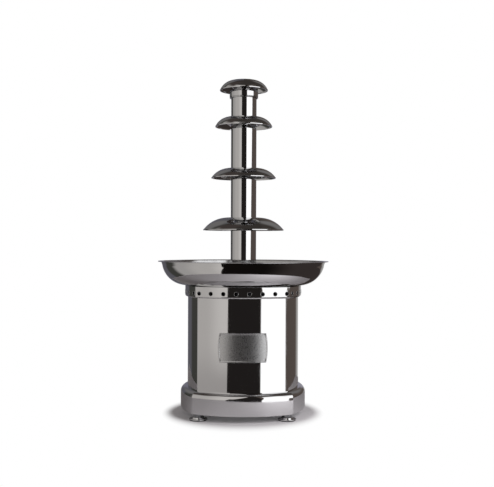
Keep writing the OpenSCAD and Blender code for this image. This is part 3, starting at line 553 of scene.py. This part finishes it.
# Each bar of the pointer: its half length, its distance from the axis and its height.
pointer_bars = ((3.4 * MM, 7.4 * MM, knob_h), (1.1 * MM, 14.4 * MM, knob_skirt_h))
on_knob = out_of_panel(knob_x, knob_z, -knob_gap)
knob_skirt = [(knob_bore_r, knob_skirt_h)]
knob_skirt += arc(knob_skirt_r - skirt_edge, knob_skirt_h - skirt_edge, skirt_edge, 90, 0, 4)
knob_skirt += [(knob_skirt_r, 0), (knob_bore_r, 0)]
grip = []
for k in range(knob_grips * grip_steps):
    a = 2 * math.pi * k / (knob_grips * grip_steps)
    r = knob_grip_r - knob_grip_depth * (0.5 + 0.5 * math.cos(knob_grips * a)) ** 2
    grip.append((r * math.cos(a), r * math.sin(a)))
grip_top = inset_arc(knob_edge_r, knob_h - knob_edge_r, knob_edge_r, 90, 0, 5)
knob_grip = swept(grip, grip_top + [(0, knob_skirt_h - skirt_edge)], on_knob, True)
piece("thermostat_knob", [turned(knob_skirt, on_knob, knob_turns), knob_grip], black_plastic, "knob",
      ("knob",))
pointing = on_knob @ Matrix.Rotation(math.radians(dial_start), 4, "Z")
pointer = [mark(half_l, pointer_half_w, pointing @ Matrix.Translation((reach, 0, height)))
           for half_l, reach, height in pointer_bars]
piece("knob_pointer", pointer, white_ink, "knob")


# Rocker switches: moulded frames that are clipped into the panel, each with a rocker that tilts in it. The
# black one runs the motor and the red one the heater. Both are shown at off.
bezel_half_w, bezel_half_h, bezel_t, bezel_depth = 8 * MM, 12 * MM, 1.6 * MM, 20 * MM
bezel_opening, bezel_body_inset, bezel_corner_r, bezel_edge_r = 2.2 * MM, 1.65 * MM, 2.6 * MM, 0.6 * MM
rocker_half_w, rocker_pivot, rocker_tilt = 5.5 * MM, 7 * MM, 10
rocker_reach, rocker_crest, rocker_taper, rocker_keel = 7.4 * MM, 10.6 * MM, 0.7, 3 * MM
rocker_edge = 0.4 * MM
# Shares of the reach at which the hollow top of a rocker has a point.
rocker_shares = (0.94, 0.7, 0.4, 0.15, -0.15, -0.4, -0.7, -0.94)
red_plastic = moulded_plastic("red_plastic", "#8E0F0B", "#A81812", 0.22)
bezel = [(bezel_opening, -bezel_depth + bezel_t), (bezel_opening, bezel_t - bezel_edge_r / 2)]
bezel += [(bezel_opening - bezel_edge_r / 2, bezel_t)]
bezel += inset_arc(bezel_edge_r, bezel_t - bezel_edge_r, bezel_edge_r, 90, 0, 4)
bezel += [(0, 0), (bezel_body_inset, 0), (bezel_body_inset, -bezel_depth)]
bezel_outline = rounded_rectangle(bezel_half_w, bezel_half_h, bezel_corner_r)
piece("switch_frames", [swept(bezel_outline, bezel, out_of_panel(x, rocker_z), True) for x in rocker_xs],
      black_plastic, "base", ("switch_bezels",))
dip = rocker_reach * math.tan(math.radians(rocker_tilt))
shoulder_z, heel = rocker_crest + dip - rocker_edge * 2, rocker_reach * rocker_taper
rocker = [(rocker_reach * share, rocker_crest + dip * share * share) for share in rocker_shares]
rocker += [(-rocker_reach, shoulder_z), (-heel, 0), (0, -rocker_keel), (heel, 0), (rocker_reach, shoulder_z)]
rounding = inset_arc(rocker_edge, rocker_half_w - rocker_edge, rocker_edge, 90, 0, 4)
rocker_ends = rounding + [(inset, -z) for inset, z in reversed(rounding)]
lying = Matrix.Rotation(math.radians(90), 4, "Z") @ Matrix.Rotation(math.radians(90), 4, "X")
tilted = Matrix.Rotation(math.radians(-rocker_tilt), 4, "X") @ lying
for x, purpose, plastic, slot_name in ((rocker_xs[0], "motor", black_plastic, "black_plastic"),
                                       (rocker_xs[1], "heat", red_plastic, "red_plastic")):
    button = swept(rocker, rocker_ends, out_of_panel(x, rocker_z, rocker_pivot) @ tilted, True)
    piece(purpose + "_rocker_button", [button], plastic, purpose + "_switch",
          (purpose + "_rocker",))


# Pilot lamp and fuse: an amber acrylic lens in a black rim, and a moulded holder whose cap has a slot for a
# coin. Both are pushed into the panel.
lamp_r, lamp_rim_r, lamp_rim_t, lamp_tail = 4.95 * MM, 7 * MM, 1.5 * MM, 22 * MM
lamp_rim_edge, lamp_turns = 0.5 * MM, 48
fuse_r, fuse_rim_r, fuse_cap_t, fuse_tail, fuse_slot = 7 * MM, 9 * MM, 3 * MM, 30 * MM, 1.4 * MM
fuse_edge, fuse_turns = 0.6 * MM, 64


def amber_lens():
    """Clear amber acrylic over a small lamp: light passes, and flow lines of about 2 mm show a little."""
    material, tree, shader, place = surface("amber_lens", "#D9730F", 0, 0.12)
    shader.inputs["Transmission Weight"].default_value = 0.55
    shader.inputs["IOR"].default_value = 1.49
    vary_roughness(tree, shader, noise(tree, place, 2 * MM), 0.08, 0.16)
    return material


amber = amber_lens()
on_lamp = out_of_panel(lamp_x, fitting_z)
lens_dome_r = lamp_r * math.sqrt(2)
lens = arc(0, lamp_rim_t - lamp_r, lens_dome_r, 89, 45, 10) + [(lamp_r, -lamp_tail)]
rim = [(lamp_r, lamp_rim_t)]
rim += arc(lamp_rim_r - lamp_rim_edge, lamp_rim_t - lamp_rim_edge, lamp_rim_edge, 90, 0, 4)
rim += [(lamp_rim_r, 0), (lamp_r, 0)]
piece("lamp_lens", [turned(lens, on_lamp, lamp_turns, True)], amber, "base", ("pilot_lamp",))
piece("lamp_rim", [turned(rim, on_lamp, lamp_turns)], black_plastic, "base")
on_fuse = out_of_panel(fuse_x, fitting_z)
fuse = arc(fuse_r - fuse_edge, 2 * fuse_cap_t - fuse_edge, fuse_edge, 90, 0, 4) + [(fuse_r, fuse_cap_t)]
fuse += arc(fuse_rim_r - fuse_edge, fuse_cap_t - fuse_edge, fuse_edge, 90, 0, 4)
fuse += [(fuse_rim_r, 0), (fuse_r, 0), (fuse_r, -fuse_tail)]
fuse_piece = piece("fuse_cap", [turned(fuse, on_fuse, fuse_turns, True)], black_plastic, "base",
                   ("fuse_holder",))
slot_box = [(fuse_rim_r, fuse_slot / 2), (-fuse_rim_r, fuse_slot / 2), (-fuse_rim_r, -fuse_slot / 2),
            (fuse_rim_r, -fuse_slot / 2)]
cut(fuse_piece, swept(slot_box, [(0, 3 * fuse_cap_t), (0, 2 * fuse_cap_t - fuse_slot)], on_fuse, True))


# Power inlet: a moulded socket with two cut corners and three brass blades, in a plate that two zinc-plated
# screws hold to the panel.
socket_half_w, socket_half_h, socket_depth = 12.5 * MM, 8.5 * MM, 19 * MM
socket_floor, socket_cut, cup_wall, cup_seat = 2 * MM, 4 * MM, 1.5 * MM, 1.4 * MM
inlet_half_w, inlet_half_h, inlet_t = 25.5 * MM, 11.5 * MM, 2.5 * MM
inlet_edge_r, inlet_corner_r = 0.8 * MM, 4 * MM
on_inlet = out_of_panel(inlet_x, fitting_z)
socket = [(socket_half_w, socket_half_h), (-socket_half_w, socket_half_h),
          (-socket_half_w, -socket_half_h + socket_cut), (-socket_half_w + socket_cut, -socket_half_h),
          (socket_half_w - socket_cut, -socket_half_h), (socket_half_w, -socket_half_h + socket_cut)]
cup = [(0, -socket_depth), (0, inlet_t - inlet_edge_r / 2), (-inlet_edge_r / 2, inlet_t)]
cup += [(-cup_wall, inlet_t), (-cup_wall, -socket_depth - socket_floor)]
plate_edge = inset_arc(inlet_edge_r, inlet_t - inlet_edge_r, inlet_edge_r, 90, 0, 4) + [(0, 0)]
plate_outline = rounded_rectangle(inlet_half_w, inlet_half_h, inlet_corner_r)
plate = piece("inlet_plate", [swept(plate_outline, plate_edge, on_inlet, True)], black_plastic, "base",
              ("power_inlet",))
cut(plate, swept(socket, [(-cup_seat, 2 * inlet_t), (-cup_seat, -2 * inlet_t)], on_inlet, True))
piece("inlet_socket", [swept(socket, cup, on_inlet, True)], black_plastic, "base")


def turned_brass():
    """Turned brass: warm and bright, a little tarnished in patches of about 8 mm."""
    material, tree, shader, place = surface("turned_brass", "#C8A250", 1, 0.24)
    two_tone(tree, shader, noise(tree, place, 8 * MM, 3), "#B48D3F", "#D6B465")
    vary_roughness(tree, shader, noise(tree, place, 0.5 * MM), 0.2, 0.3)
    return material


brass = turned_brass()
paint(brass, "inlet_pins")
paint(zinc, "inlet_screws")


# Drive: a motor with a wound stator under two machined aluminium gear plates on posts. A steel pinion turns a
# brass gear three times as large. Its ground shaft runs in two bearings and ends in a hexagon in the bowl.
wave_repeat = 0.314


def ground_steel():
    """Hardened and ground steel: bright, with fine rings of about 0.4 mm left by the wheel."""
    material, tree, shader, place = surface("ground_steel", "#B4B6B8", 1, 0.16)
    rings = noise(tree, place, 0.4 * MM, 3)
    vary_roughness(tree, shader, rings, 0.12, 0.22)
    emboss(tree, shader, rings, 0.1, 0.01 * MM)
    return material


def machined_aluminium():
    """Milled aluminium: pale, with cutter marks of about 0.8 mm."""
    material, tree, shader, place = surface("machined_aluminium", "#CDCFD0", 1, 0.3)
    marks = noise(tree, place, 0.8 * MM, 3)
    vary_roughness(tree, shader, marks, 0.24, 0.4)
    emboss(tree, shader, marks, 0.15, 0.02 * MM)
    return material


def banded(name, dark, light, metallic, roughness, pitch):
    """Layers stacked along the axis: wound wire or stamped sheets. The pattern repeats every wave_repeat at a
    scale of 1, so the scale follows from the real pitch."""
    material, tree, shader, place = surface(name, light, metallic, roughness)
    settings = {"bands_direction": "Z", "Scale": wave_repeat / pitch, "Distortion": 0.4}
    layers = add(tree, "ShaderNodeTexWave", settings, Vector=place).outputs["Fac"]
    two_tone(tree, shader, layers, dark, light)
    emboss(tree, shader, layers, 0.5, pitch / 4)
    return material


ground = ground_steel()
aluminium = machined_aluminium()
paint(ground, "shaft_bearings", "drive_shaft", "rotor_shaft", "pinion")
paint(brass, "output_gear")
paint(aluminium, "upper_gear_plate", "lower_gear_plate", "motor_tail_cap")
paint(banded("enamelled_copper_winding", "#6B3216", "#B5622F", 0.8, 0.35, 0.8 * MM), "stator")
paint(banded("stamped_iron_sheets", "#5B5D60", "#8A8C8F", 1, 0.4, 0.5 * MM), "rotor_core")
paint(zinc, "motor_can", "gear_posts")
paint(black_plastic, "cooling_fan")


# Vent collar: a pressed stainless ring with the body's bowed plan and eight vents in each face, their edges
# rolled. The deck clamps its lower flange onto the body, and the bowl's heater sits inside it.
collar_edge_r = 3.5 * MM
collar_top_r = 0.8 * MM
collar_flange = 12 * MM
collar_corner_r = 5 * MM
vent_r = 3.8 * MM
vent_count = 8
vent_pitch = 24.8 * MM
vent_rise = 9 * MM
vent_lip_r = 0.3 * MM
vent_turns = 32


def punched_edge_painted_shade():
    """The torn wall of a punched hole: dull steel, rough over about 0.4 mm, and painted dark as painted shade
    so that the vents look black.
    """
    material, tree, shader, place = surface("punched_edge_painted_shade", "#2B2928", 1, 0.55)
    vary_roughness(tree, shader, noise(tree, place, 0.4 * MM), 0.45, 0.65)
    return material


low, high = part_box("vent_collar")
collar_half = high.x
collar_face_r = collar_half + face_bow
collar = [(collar_flange, high.z)]
collar += inset_arc(collar_top_r, high.z - collar_top_r, collar_top_r, 90, 0, 4)
collar += inset_arc(collar_edge_r, low.z + collar_edge_r, collar_edge_r, 0, -90, 10)
collar += [(collar_flange, low.z), (collar_flange, low.z + sheet)]
collar += inset_arc(collar_edge_r, low.z + collar_edge_r, collar_edge_r - sheet, -90, 0, 10)
collar += [(sheet, high.z - sheet), (collar_flange, high.z - sheet)]
collar_piece = piece("collar", [bowed(collar_half, collar_corner_r, collar)], mirror, "base",
                     ("vent_collar",))
upright = Matrix.Rotation(math.radians(90), 4, "X")
vents, lips = [], []
for side in range(4):
    facing = Matrix.Rotation(side * math.pi / 2, 4, "Z")
    for i in range(vent_count):
        along = (i - (vent_count - 1) / 2) * vent_pitch / collar_face_r
        at = facing @ Matrix.Translation((0, face_bow, low.z + vent_rise))
        at = at @ Matrix.Rotation(along, 4, "Z") @ Matrix.Translation((0, -collar_face_r, 0)) @ upright
        vents.append(turned([(vent_r, 2 * sheet), (vent_r, -2 * sheet)], at, vent_turns, True))
        lips.append(turned(arc(vent_r + vent_lip_r, 0, vent_lip_r, 180, -180, 10)[:-1], at, vent_turns))
# The vents' cut walls carry painted shade: dark steel stands for the shade inside the collar behind the
# holes.
cut(collar_piece, *vents, wall_material=punched_edge_painted_shade())
piece("vent_lips", lips, mirror, "base")


# Heater: a tubular element clamped under an aluminium plate on four posts, with the thermostat's bulb
# beside it. It presses up against the bottom of the bowl.
paint(satin, "heater_element")
paint(aluminium, "heater_plate")
paint(zinc, "heater_posts")
paint(brass, "thermostat_bulb")


# Bowl: spun from one stainless disc, buffed outside and satin inside, with a narrow flange that ends in a
# rolled lip. A brass neck is nutted through its middle, with a rubber seal round the drive shaft.
bowl_flat_r = 115 * MM
bowl_side_r = 47 * MM
bowl_mouth_r = 1.5 * MM
bowl_inside_end, bowl_outside_start = -2, -9
bowl_side_steps = 30
bowl_turns = 256
neck_hole_r = 14.05 * MM
low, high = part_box("bowl")
rim_r, rim_z = high.x, high.z
inner_r = bowl_side_r - sheet
bowl = [(neck_hole_r, low.z + sheet)]
bowl += arc(bowl_flat_r, rim_z, inner_r, -90, bowl_inside_end, bowl_side_steps)
bowl += [(bowl_flat_r + inner_r + bowl_mouth_r, rim_z)]
bowl += arc(rim_r - sheet / 2, rim_z - sheet / 2, sheet / 2, 90, -90, 8)
bowl += [(bowl_flat_r + bowl_side_r + bowl_mouth_r, rim_z - sheet)]
bowl += arc(bowl_flat_r, rim_z, bowl_side_r, bowl_outside_start, -90, bowl_side_steps)
bowl += [(neck_hole_r, low.z)]
bowl_piece = piece("spun_bowl", [turned(bowl, turns=bowl_turns)], mirror, "base", ("bowl",))
bowl_piece.data.materials.append(polished_steel("satin_bowl_inside", "#BEBEBF", 0.2))
inside_faces = (bowl_side_steps + 1) * bowl_turns
for polygon in bowl_piece.data.polygons:
    polygon.material_index = int(polygon.index < inside_faces)
paint(brass, "neck_bush", "neck_nut")
paint(rubber, "shaft_seal")


# Auger: a turned stainless core with a flight welded round it, buffed. It stands in the tower on the drive
# shaft's hexagon and lifts the chocolate to the crown.
flight_pitch = 46 * MM
flight_t = 2.5 * MM
flight_inner_r = 7.6 * MM
flight_edge = 0.4 * MM
flight_turn_steps = 72
low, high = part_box("auger_flight")
flight_r = high.x
flight_turns = (high.z - low.z) / flight_pitch
half_t = flight_t / 2
blade = [(flight_inner_r, half_t), (flight_r - flight_edge, half_t), (flight_r, half_t - flight_edge)]
blade += [(r, -z) for r, z in reversed(blade)]
step_count = round((flight_turns + flight_t / flight_pitch) * flight_turn_steps)
flight_points = []
for i in range(step_count + 1):
    climb = (flight_turns * flight_pitch + flight_t) * i / step_count - half_t
    a = 2 * math.pi * climb / flight_pitch
    for r, z in blade:
        level = min(max(low.z + climb + z, low.z), high.z)
        flight_points.append((r * math.cos(a), r * math.sin(a), level))
piece("auger_blade", [(flight_points, ring_faces(step_count + 1, len(blade), True))], mirror, "auger",
      ("auger_flight",))
paint(mirror, "auger_core")


# Tower: a polished stainless tube with four inlet slots at its foot, which stands on the bowl's floor round
# the neck. Three pins under each tier carry it.
slot_half_w = 11 * MM
slot_h = 30 * MM
tube_edge = 0.3 * MM
tube_turns = 128
low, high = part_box("tower_tube")
tube_foot_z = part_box("tower_foot")[0].z
tube_r = high.x
tube_bore_r = tube_r - sheet
tube = [(tube_bore_r + tube_edge, high.z), (tube_r - tube_edge, high.z), (tube_r, high.z - tube_edge)]
tube += [(tube_r, tube_foot_z + tube_edge), (tube_r - tube_edge, tube_foot_z)]
tube += [(tube_bore_r + tube_edge, tube_foot_z), (tube_bore_r, tube_foot_z + tube_edge)]
tube += [(tube_bore_r, high.z - tube_edge)]
tube_piece = piece("tube", [turned(tube, turns=tube_turns)], mirror, "tower",
                   ("tower_tube", "tower_foot"))
inlet_slot = arc(0, tube_foot_z + slot_h - slot_half_w, slot_half_w, 0, 180, 24)
inlet_slot += [(-slot_half_w, tube_foot_z - slot_half_w), (slot_half_w, tube_foot_z - slot_half_w)]
for turn in (0, 90):
    at = Matrix.Rotation(math.radians(turn), 4, "Z") @ upright
    cut(tube_piece, swept(inlet_slot, [(0, 2 * tube_r), (0, -2 * tube_r)], at, True))
paint(mirror, "tier_pins")


# Tiers: three domes spun from stainless sheet and buffed to a mirror, each with a beaded rim and a hub that
# slides down the tube until it rests on its pins.
hub_r = 25.7 * MM
hub_wall = 2 * MM
hub_lift = 3 * MM
bead_r = 0.9 * MM
bead_edge = 0.3 * MM
bead_cover = 2
dome_steps = 28


def dome(rim_r, rim_z, dome_r, dome_c, inner_end):
    """Profile of a spun dome from its top to the inside of its beaded rim, as (r, z) points, with the height
    of its centre and the angle at which it meets the rim."""
    centre_z = rim_z - math.sqrt(dome_r ** 2 - (rim_r - dome_c) ** 2)
    fall = math.degrees(math.asin((rim_z + bead_r - centre_z) / dome_r))
    start = 90 if dome_c >= inner_end else math.degrees(math.acos((inner_end - dome_c) / dome_r))
    profile = arc(dome_c, centre_z, dome_r, start, fall, dome_steps)
    outside, inside = rim_r - bead_edge, rim_r - 2 * bead_r + bead_edge
    profile += arc(outside, rim_z + bead_r - bead_edge, bead_edge, 90, 0, 4)
    profile += arc(outside, rim_z - bead_r + bead_edge, bead_edge, 0, -90, 4)
    profile += arc(inside, rim_z - bead_r + bead_edge, bead_edge, -90, -180, 4)
    return profile, centre_z, fall


for name, dome_r, dome_c in (("lower_tier", 60 * MM, 32 * MM), ("middle_tier", 41 * MM, 30 * MM),
                             ("upper_tier", 30.5 * MM, 29 * MM)):
    low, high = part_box(name)
    rim_z = low.z + bead_r
    profile, centre_z, fall = dome(high.x, rim_z, dome_r, dome_c, hub_r)
    inside = arc(dome_c, centre_z, dome_r - sheet, fall + bead_cover, 90, dome_steps)
    hub_outer_r, hub_foot_z = hub_r + hub_wall, rim_z + hub_lift
    hub = [(hub_outer_r, high.z - sheet), (hub_outer_r, hub_foot_z), (hub_r, hub_foot_z)]
    shape = turned([(hub_r, high.z)] + profile + inside + hub)
    piece(name + "_dome", [shape], mirror, name, (name,))


# Crown: a spun dome like the tiers, with a sleeve that fits over the top of the tube and ends in a bead. The
# chocolate wells out of its open middle.
crown_dome_r = 30 * MM
crown_dome_c = 20 * MM
crown_drop = 15.5 * MM
sleeve_wall = 2.8 * MM
sleeve_bead = 1.4 * MM
low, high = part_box("crown")
tube_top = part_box("tower_tube")[1].z
crown_rim_z = tube_top - crown_drop
sleeve_r = hub_r + sleeve_wall
profile, centre_z, fall = dome(high.x, crown_rim_z, crown_dome_r, crown_dome_c, tube_bore_r)
sleeve_top = math.degrees(math.acos((sleeve_r - crown_dome_c) / (crown_dome_r - sheet)))
inside = arc(crown_dome_c, centre_z, crown_dome_r - sheet, fall + bead_cover, sleeve_top, dome_steps)
sleeve = [(sleeve_r, low.z + 2 * sleeve_bead)]
sleeve += arc(hub_r + sleeve_bead, low.z + sleeve_bead, sleeve_bead, 60, -180, 12)
sleeve += [(hub_r, tube_top), (tube_bore_r, tube_top)]
piece("crown_dome", [turned(profile + inside + sleeve)], mirror, "crown", ("crown",))


# Table and studio: a pale table with a round front in a dark room. A grey flat stands on the left, a tall
# softbox on the right and a white backdrop behind. The picture was cut out on white, so the camera sees white
# beyond the shadow, and the metal sees the studio.
table_half_w, table_nose, table_side, table_turn_y = 0.415, 0.455, -0.02, 0.1
table_back_left, table_back_right = 0.6, 0.4
table_t, table_nose_steps = 20 * MM, 64
shadow_core, shadow_end = (0.137, 0.127), (0.163, 0.205)
shadow_haze = 0.06


def pale_table():
    """Pale laminate. To the camera it fades to pure white a hand's breadth from the object."""
    material, tree, shader, place = surface("pale_table", "#DCD8DC", 0, 0.6)
    two_tone(tree, shader, noise(tree, place, 5 * MM), "#D9D5D9", "#DFDBDF")
    reach = []
    for half_w, half_d in (shadow_core, shadow_end):
        shrink = {"operation": "MULTIPLY", 1: (1 / half_w, 1 / half_d, 0)}
        scaled = add(tree, "ShaderNodeVectorMath", shrink, _0=place).outputs[0]
        reach.append(add(tree, "ShaderNodeVectorMath", {"operation": "LENGTH"}, _0=scaled).outputs["Value"])
    past = add(tree, "ShaderNodeMath", {"operation": "SUBTRACT", 1: 1}, _0=reach[0]).outputs[0]
    width = add(tree, "ShaderNodeMath", {"operation": "SUBTRACT"}, _0=reach[0], _1=reach[1]).outputs[0]
    faded = add(tree, "ShaderNodeMath", {"operation": "DIVIDE"}, _0=past, _1=width).outputs[0]
    easing = {"interpolation_type": "SMOOTHSTEP", "To Min": shadow_haze}
    fade = add(tree, "ShaderNodeMapRange", easing, Value=faded).outputs["Result"]
    seen = add(tree, "ShaderNodeLightPath").outputs["Is Camera Ray"]
    share = add(tree, "ShaderNodeMath", {"operation": "MULTIPLY"}, _0=fade, _1=seen).outputs[0]
    white = add(tree, "ShaderNodeEmission", {"Color": linear("#FFFFFF")}).outputs[0]
    mixed = add(tree, "ShaderNodeMixShader", None, _0=share, _1=shader.outputs[0], _2=white)
    tree.links.new(mixed.outputs[0], tree.nodes["Material Output"].inputs["Surface"])
    return material


nose = [math.pi * (1 + i / table_nose_steps) for i in range(table_nose_steps + 1)]
table_top = [(table_side + table_half_w * math.cos(a), table_turn_y + table_nose * math.sin(a)) for a in nose]
table_top += [(table_side + table_half_w, table_back_right), (table_side - table_half_w, table_back_left)]
table_mesh = mesh_of("table", [swept(table_top, [(0, 0), (0, -table_t)], capped=True)])
table_mesh.materials.append(pale_table())
table = bpy.data.objects.new("table", table_mesh)
bpy.context.scene.collection.objects.link(table)

soft_lamp_power, soft_lamp_size = 1.7, 0.3
soft_lamp_place, soft_lamp_from = (0.37, -0.39, 0.3), (0.19, -0.09, 0.3)
lamp_data = bpy.data.lights.new("soft_lamp", "AREA")
lamp_data.energy = soft_lamp_power
lamp_data.size = soft_lamp_size
lamp = bpy.data.objects.new("soft_lamp", lamp_data)
lamp.location = soft_lamp_place
lamp.rotation_euler = Vector(soft_lamp_from).to_track_quat("Z", "Y").to_euler()
lamp.visible_glossy = False
bpy.context.scene.collection.objects.link(lamp)

# Each flat of the studio: its left and right edge, seen from the object and turned from the camera towards
# the right, with their lean and softness, its lower and upper edge with their softness, in degrees, then its
# colour and brightness. Later ones stand in front.
all_round, all_heights = ((-181, 0, 1), (181, 0, 1)), ((-91, 1), (91, 1))
flat_edge, softbox_edge = (-17.6, 0.45, 0.3), (25.4, 0.12, 0.8)
below_table, backdrop_heights = ((-91, 1), (-11.5, 1)), ((-11, 2), (-2, 2))
room_colour = "#242120"
studio_flats = [
    ("brown wall on the right", (24, 0, 1), (181, 0, 1), *all_heights, "#5B524D", 1),
    ("dark floor", *all_round, *below_table, "#120F0E", 1),
    ("dark floor, right", (60, 0, 30), (181, 0, 1), *below_table, "#3A3432", 1),
    ("blue-grey left corner", (-181, 0, 1), (-138, 0, 4), *all_heights, "#5E5D63", 1),
    ("dark left wing", (-141, 0, 4), (-100, 0, 4), *all_heights, "#42423E", 1),
    ("grey flat", (-117, 0, 7), flat_edge, *all_heights, "#ADAAA7", 1),
    ("grey flat, middle", (-85, 0, 16), flat_edge, *all_heights, "#BFBBB7", 1),
    ("grey flat, near", (-40, 0, 14), flat_edge, *all_heights, "#D6D2CE", 1),
    ("grey flat, foot", (-117, 0, 7), flat_edge, (-14, 2), (-8, 1.5), "#ABA7A4", 1),
    ("dark gap beside the flat", (-19.9, 0.21, 0.3), (-8, 0, 1), (-12, 0.5), (13, 4), room_colour, 1),
    ("grey wall behind, left", (-181, 0, 1), (-165, 0, 5), (-11, 2), (12, 4), "#767580", 1),
    ("grey wall behind, right", (163, 0, 5), (181, 0, 1), (-11, 2), (12, 4), "#9A98A2", 1),
    ("grey right corner", (150, 0, 4), (175, 0, 5), *backdrop_heights, "#A6A4A2", 1),
    ("grey left corner, above", (-162, 0, 6), (-132, 0, 8), (14, 8), (55, 8), "#747271", 1),
    ("ceiling, right", (80, 0, 8), (181, 0, 1), (30, 10), (91, 1), "#433E3A", 1),
    ("grey right corner, above", (138, 0, 8), (162, 0, 6), (14, 8), (55, 8), "#7A7877", 1),
    ("softbox", softbox_edge, (61.3, 0, 0.8), (-11.5, 1), (48, 14), "#FFFFFF", 1.5),
    ("softbox, leaning edge", softbox_edge, (69.6, 1.4, 1), (-2, 1), (12, 2), "#FFFFFF", 1.5),
    ("softbox, top", softbox_edge, (80, 0, 4), (10, 2), (40, 14), "#FFFFFF", 1.5),
    ("ceiling", *all_round, (61, 2), (91, 1), "#3C3835", 1),
    ("ceiling, left", (-128, 0, 10), (-60, 0, 15), (48, 8), (91, 1), "#463F3C", 1),
]
white_backdrop = ((165, 0, 4), (175, 0, 5), *backdrop_heights)


def studio():
    """The world: white to the camera, and to metal and glass where the backdrop stands. Everything else is
    lit by the studio's flats and shows them."""
    world = bpy.data.worlds.new("studio")
    world.use_nodes = True
    tree = world.node_tree
    direction = add(tree, "ShaderNodeTexCoord").outputs["Generated"]
    toward = add(tree, "ShaderNodeSeparateXYZ", None, Vector=direction)
    front = add(tree, "ShaderNodeMath", {"operation": "MULTIPLY", 1: -1}, _0=toward.outputs["Y"]).outputs[0]
    turn = add(tree, "ShaderNodeMath", {"operation": "ARCTAN2"}, _0=toward.outputs["X"], _1=front).outputs[0]
    rise = add(tree, "ShaderNodeMath", {"operation": "ARCSINE"}, _0=toward.outputs["Z"]).outputs[0]

    def covered(left, right, lower, upper):
        """How much of a flat stands in a direction."""
        share = None
        edges = ((turn, left, 1), (turn, right, -1), (rise, lower, 1), (rise, upper, -1))
        for value, (edge, *lean, soft), way in edges:
            if lean and lean[0]:
                settings = {"operation": "MULTIPLY_ADD", 1: -lean[0]}
                value = add(tree, "ShaderNodeMath", settings, _0=rise, _2=value).outputs[0]
            limits = {"interpolation_type": "SMOOTHSTEP", "From Min": math.radians(edge - soft * way),
                      "From Max": math.radians(edge + soft * way)}
            past = add(tree, "ShaderNodeMapRange", limits, Value=value).outputs["Result"]
            if share is not None:
                past = add(tree, "ShaderNodeMath", {"operation": "MULTIPLY"}, _0=past, _1=share).outputs[0]
            share = past
        return share

    room = add(tree, "ShaderNodeRGB")
    room.outputs[0].default_value = linear(room_colour)
    colour = room.outputs[0]
    for _, left, right, lower, upper, hex_colour, brightness in studio_flats:
        shown = [c * brightness for c in linear(hex_colour)[:3]] + [1]
        flat = covered(left, right, lower, upper)
        colour = add(tree, "ShaderNodeMix", {"data_type": "RGBA", 7: shown}, _0=flat, _6=colour).outputs[2]
    ray = add(tree, "ShaderNodeLightPath").outputs
    glossy, passing = ray["Is Glossy Ray"], ray["Is Transmission Ray"]
    either, both = {"operation": "MAXIMUM"}, {"operation": "MULTIPLY"}
    mirrored = add(tree, "ShaderNodeMath", either, _0=glossy, _1=passing).outputs[0]
    behind = add(tree, "ShaderNodeMath", both, _0=mirrored, _1=covered(*white_backdrop)).outputs[0]
    whitened = add(tree, "ShaderNodeMath", either, _0=ray["Is Camera Ray"], _1=behind).outputs[0]
    final = add(tree, "ShaderNodeMix", {"data_type": "RGBA", 7: linear("#FFFFFF")}, _0=whitened, _6=colour)
    tree.links.new(final.outputs[2], tree.nodes["Background"].inputs["Color"])
    return world


bpy.context.scene.world = studio()
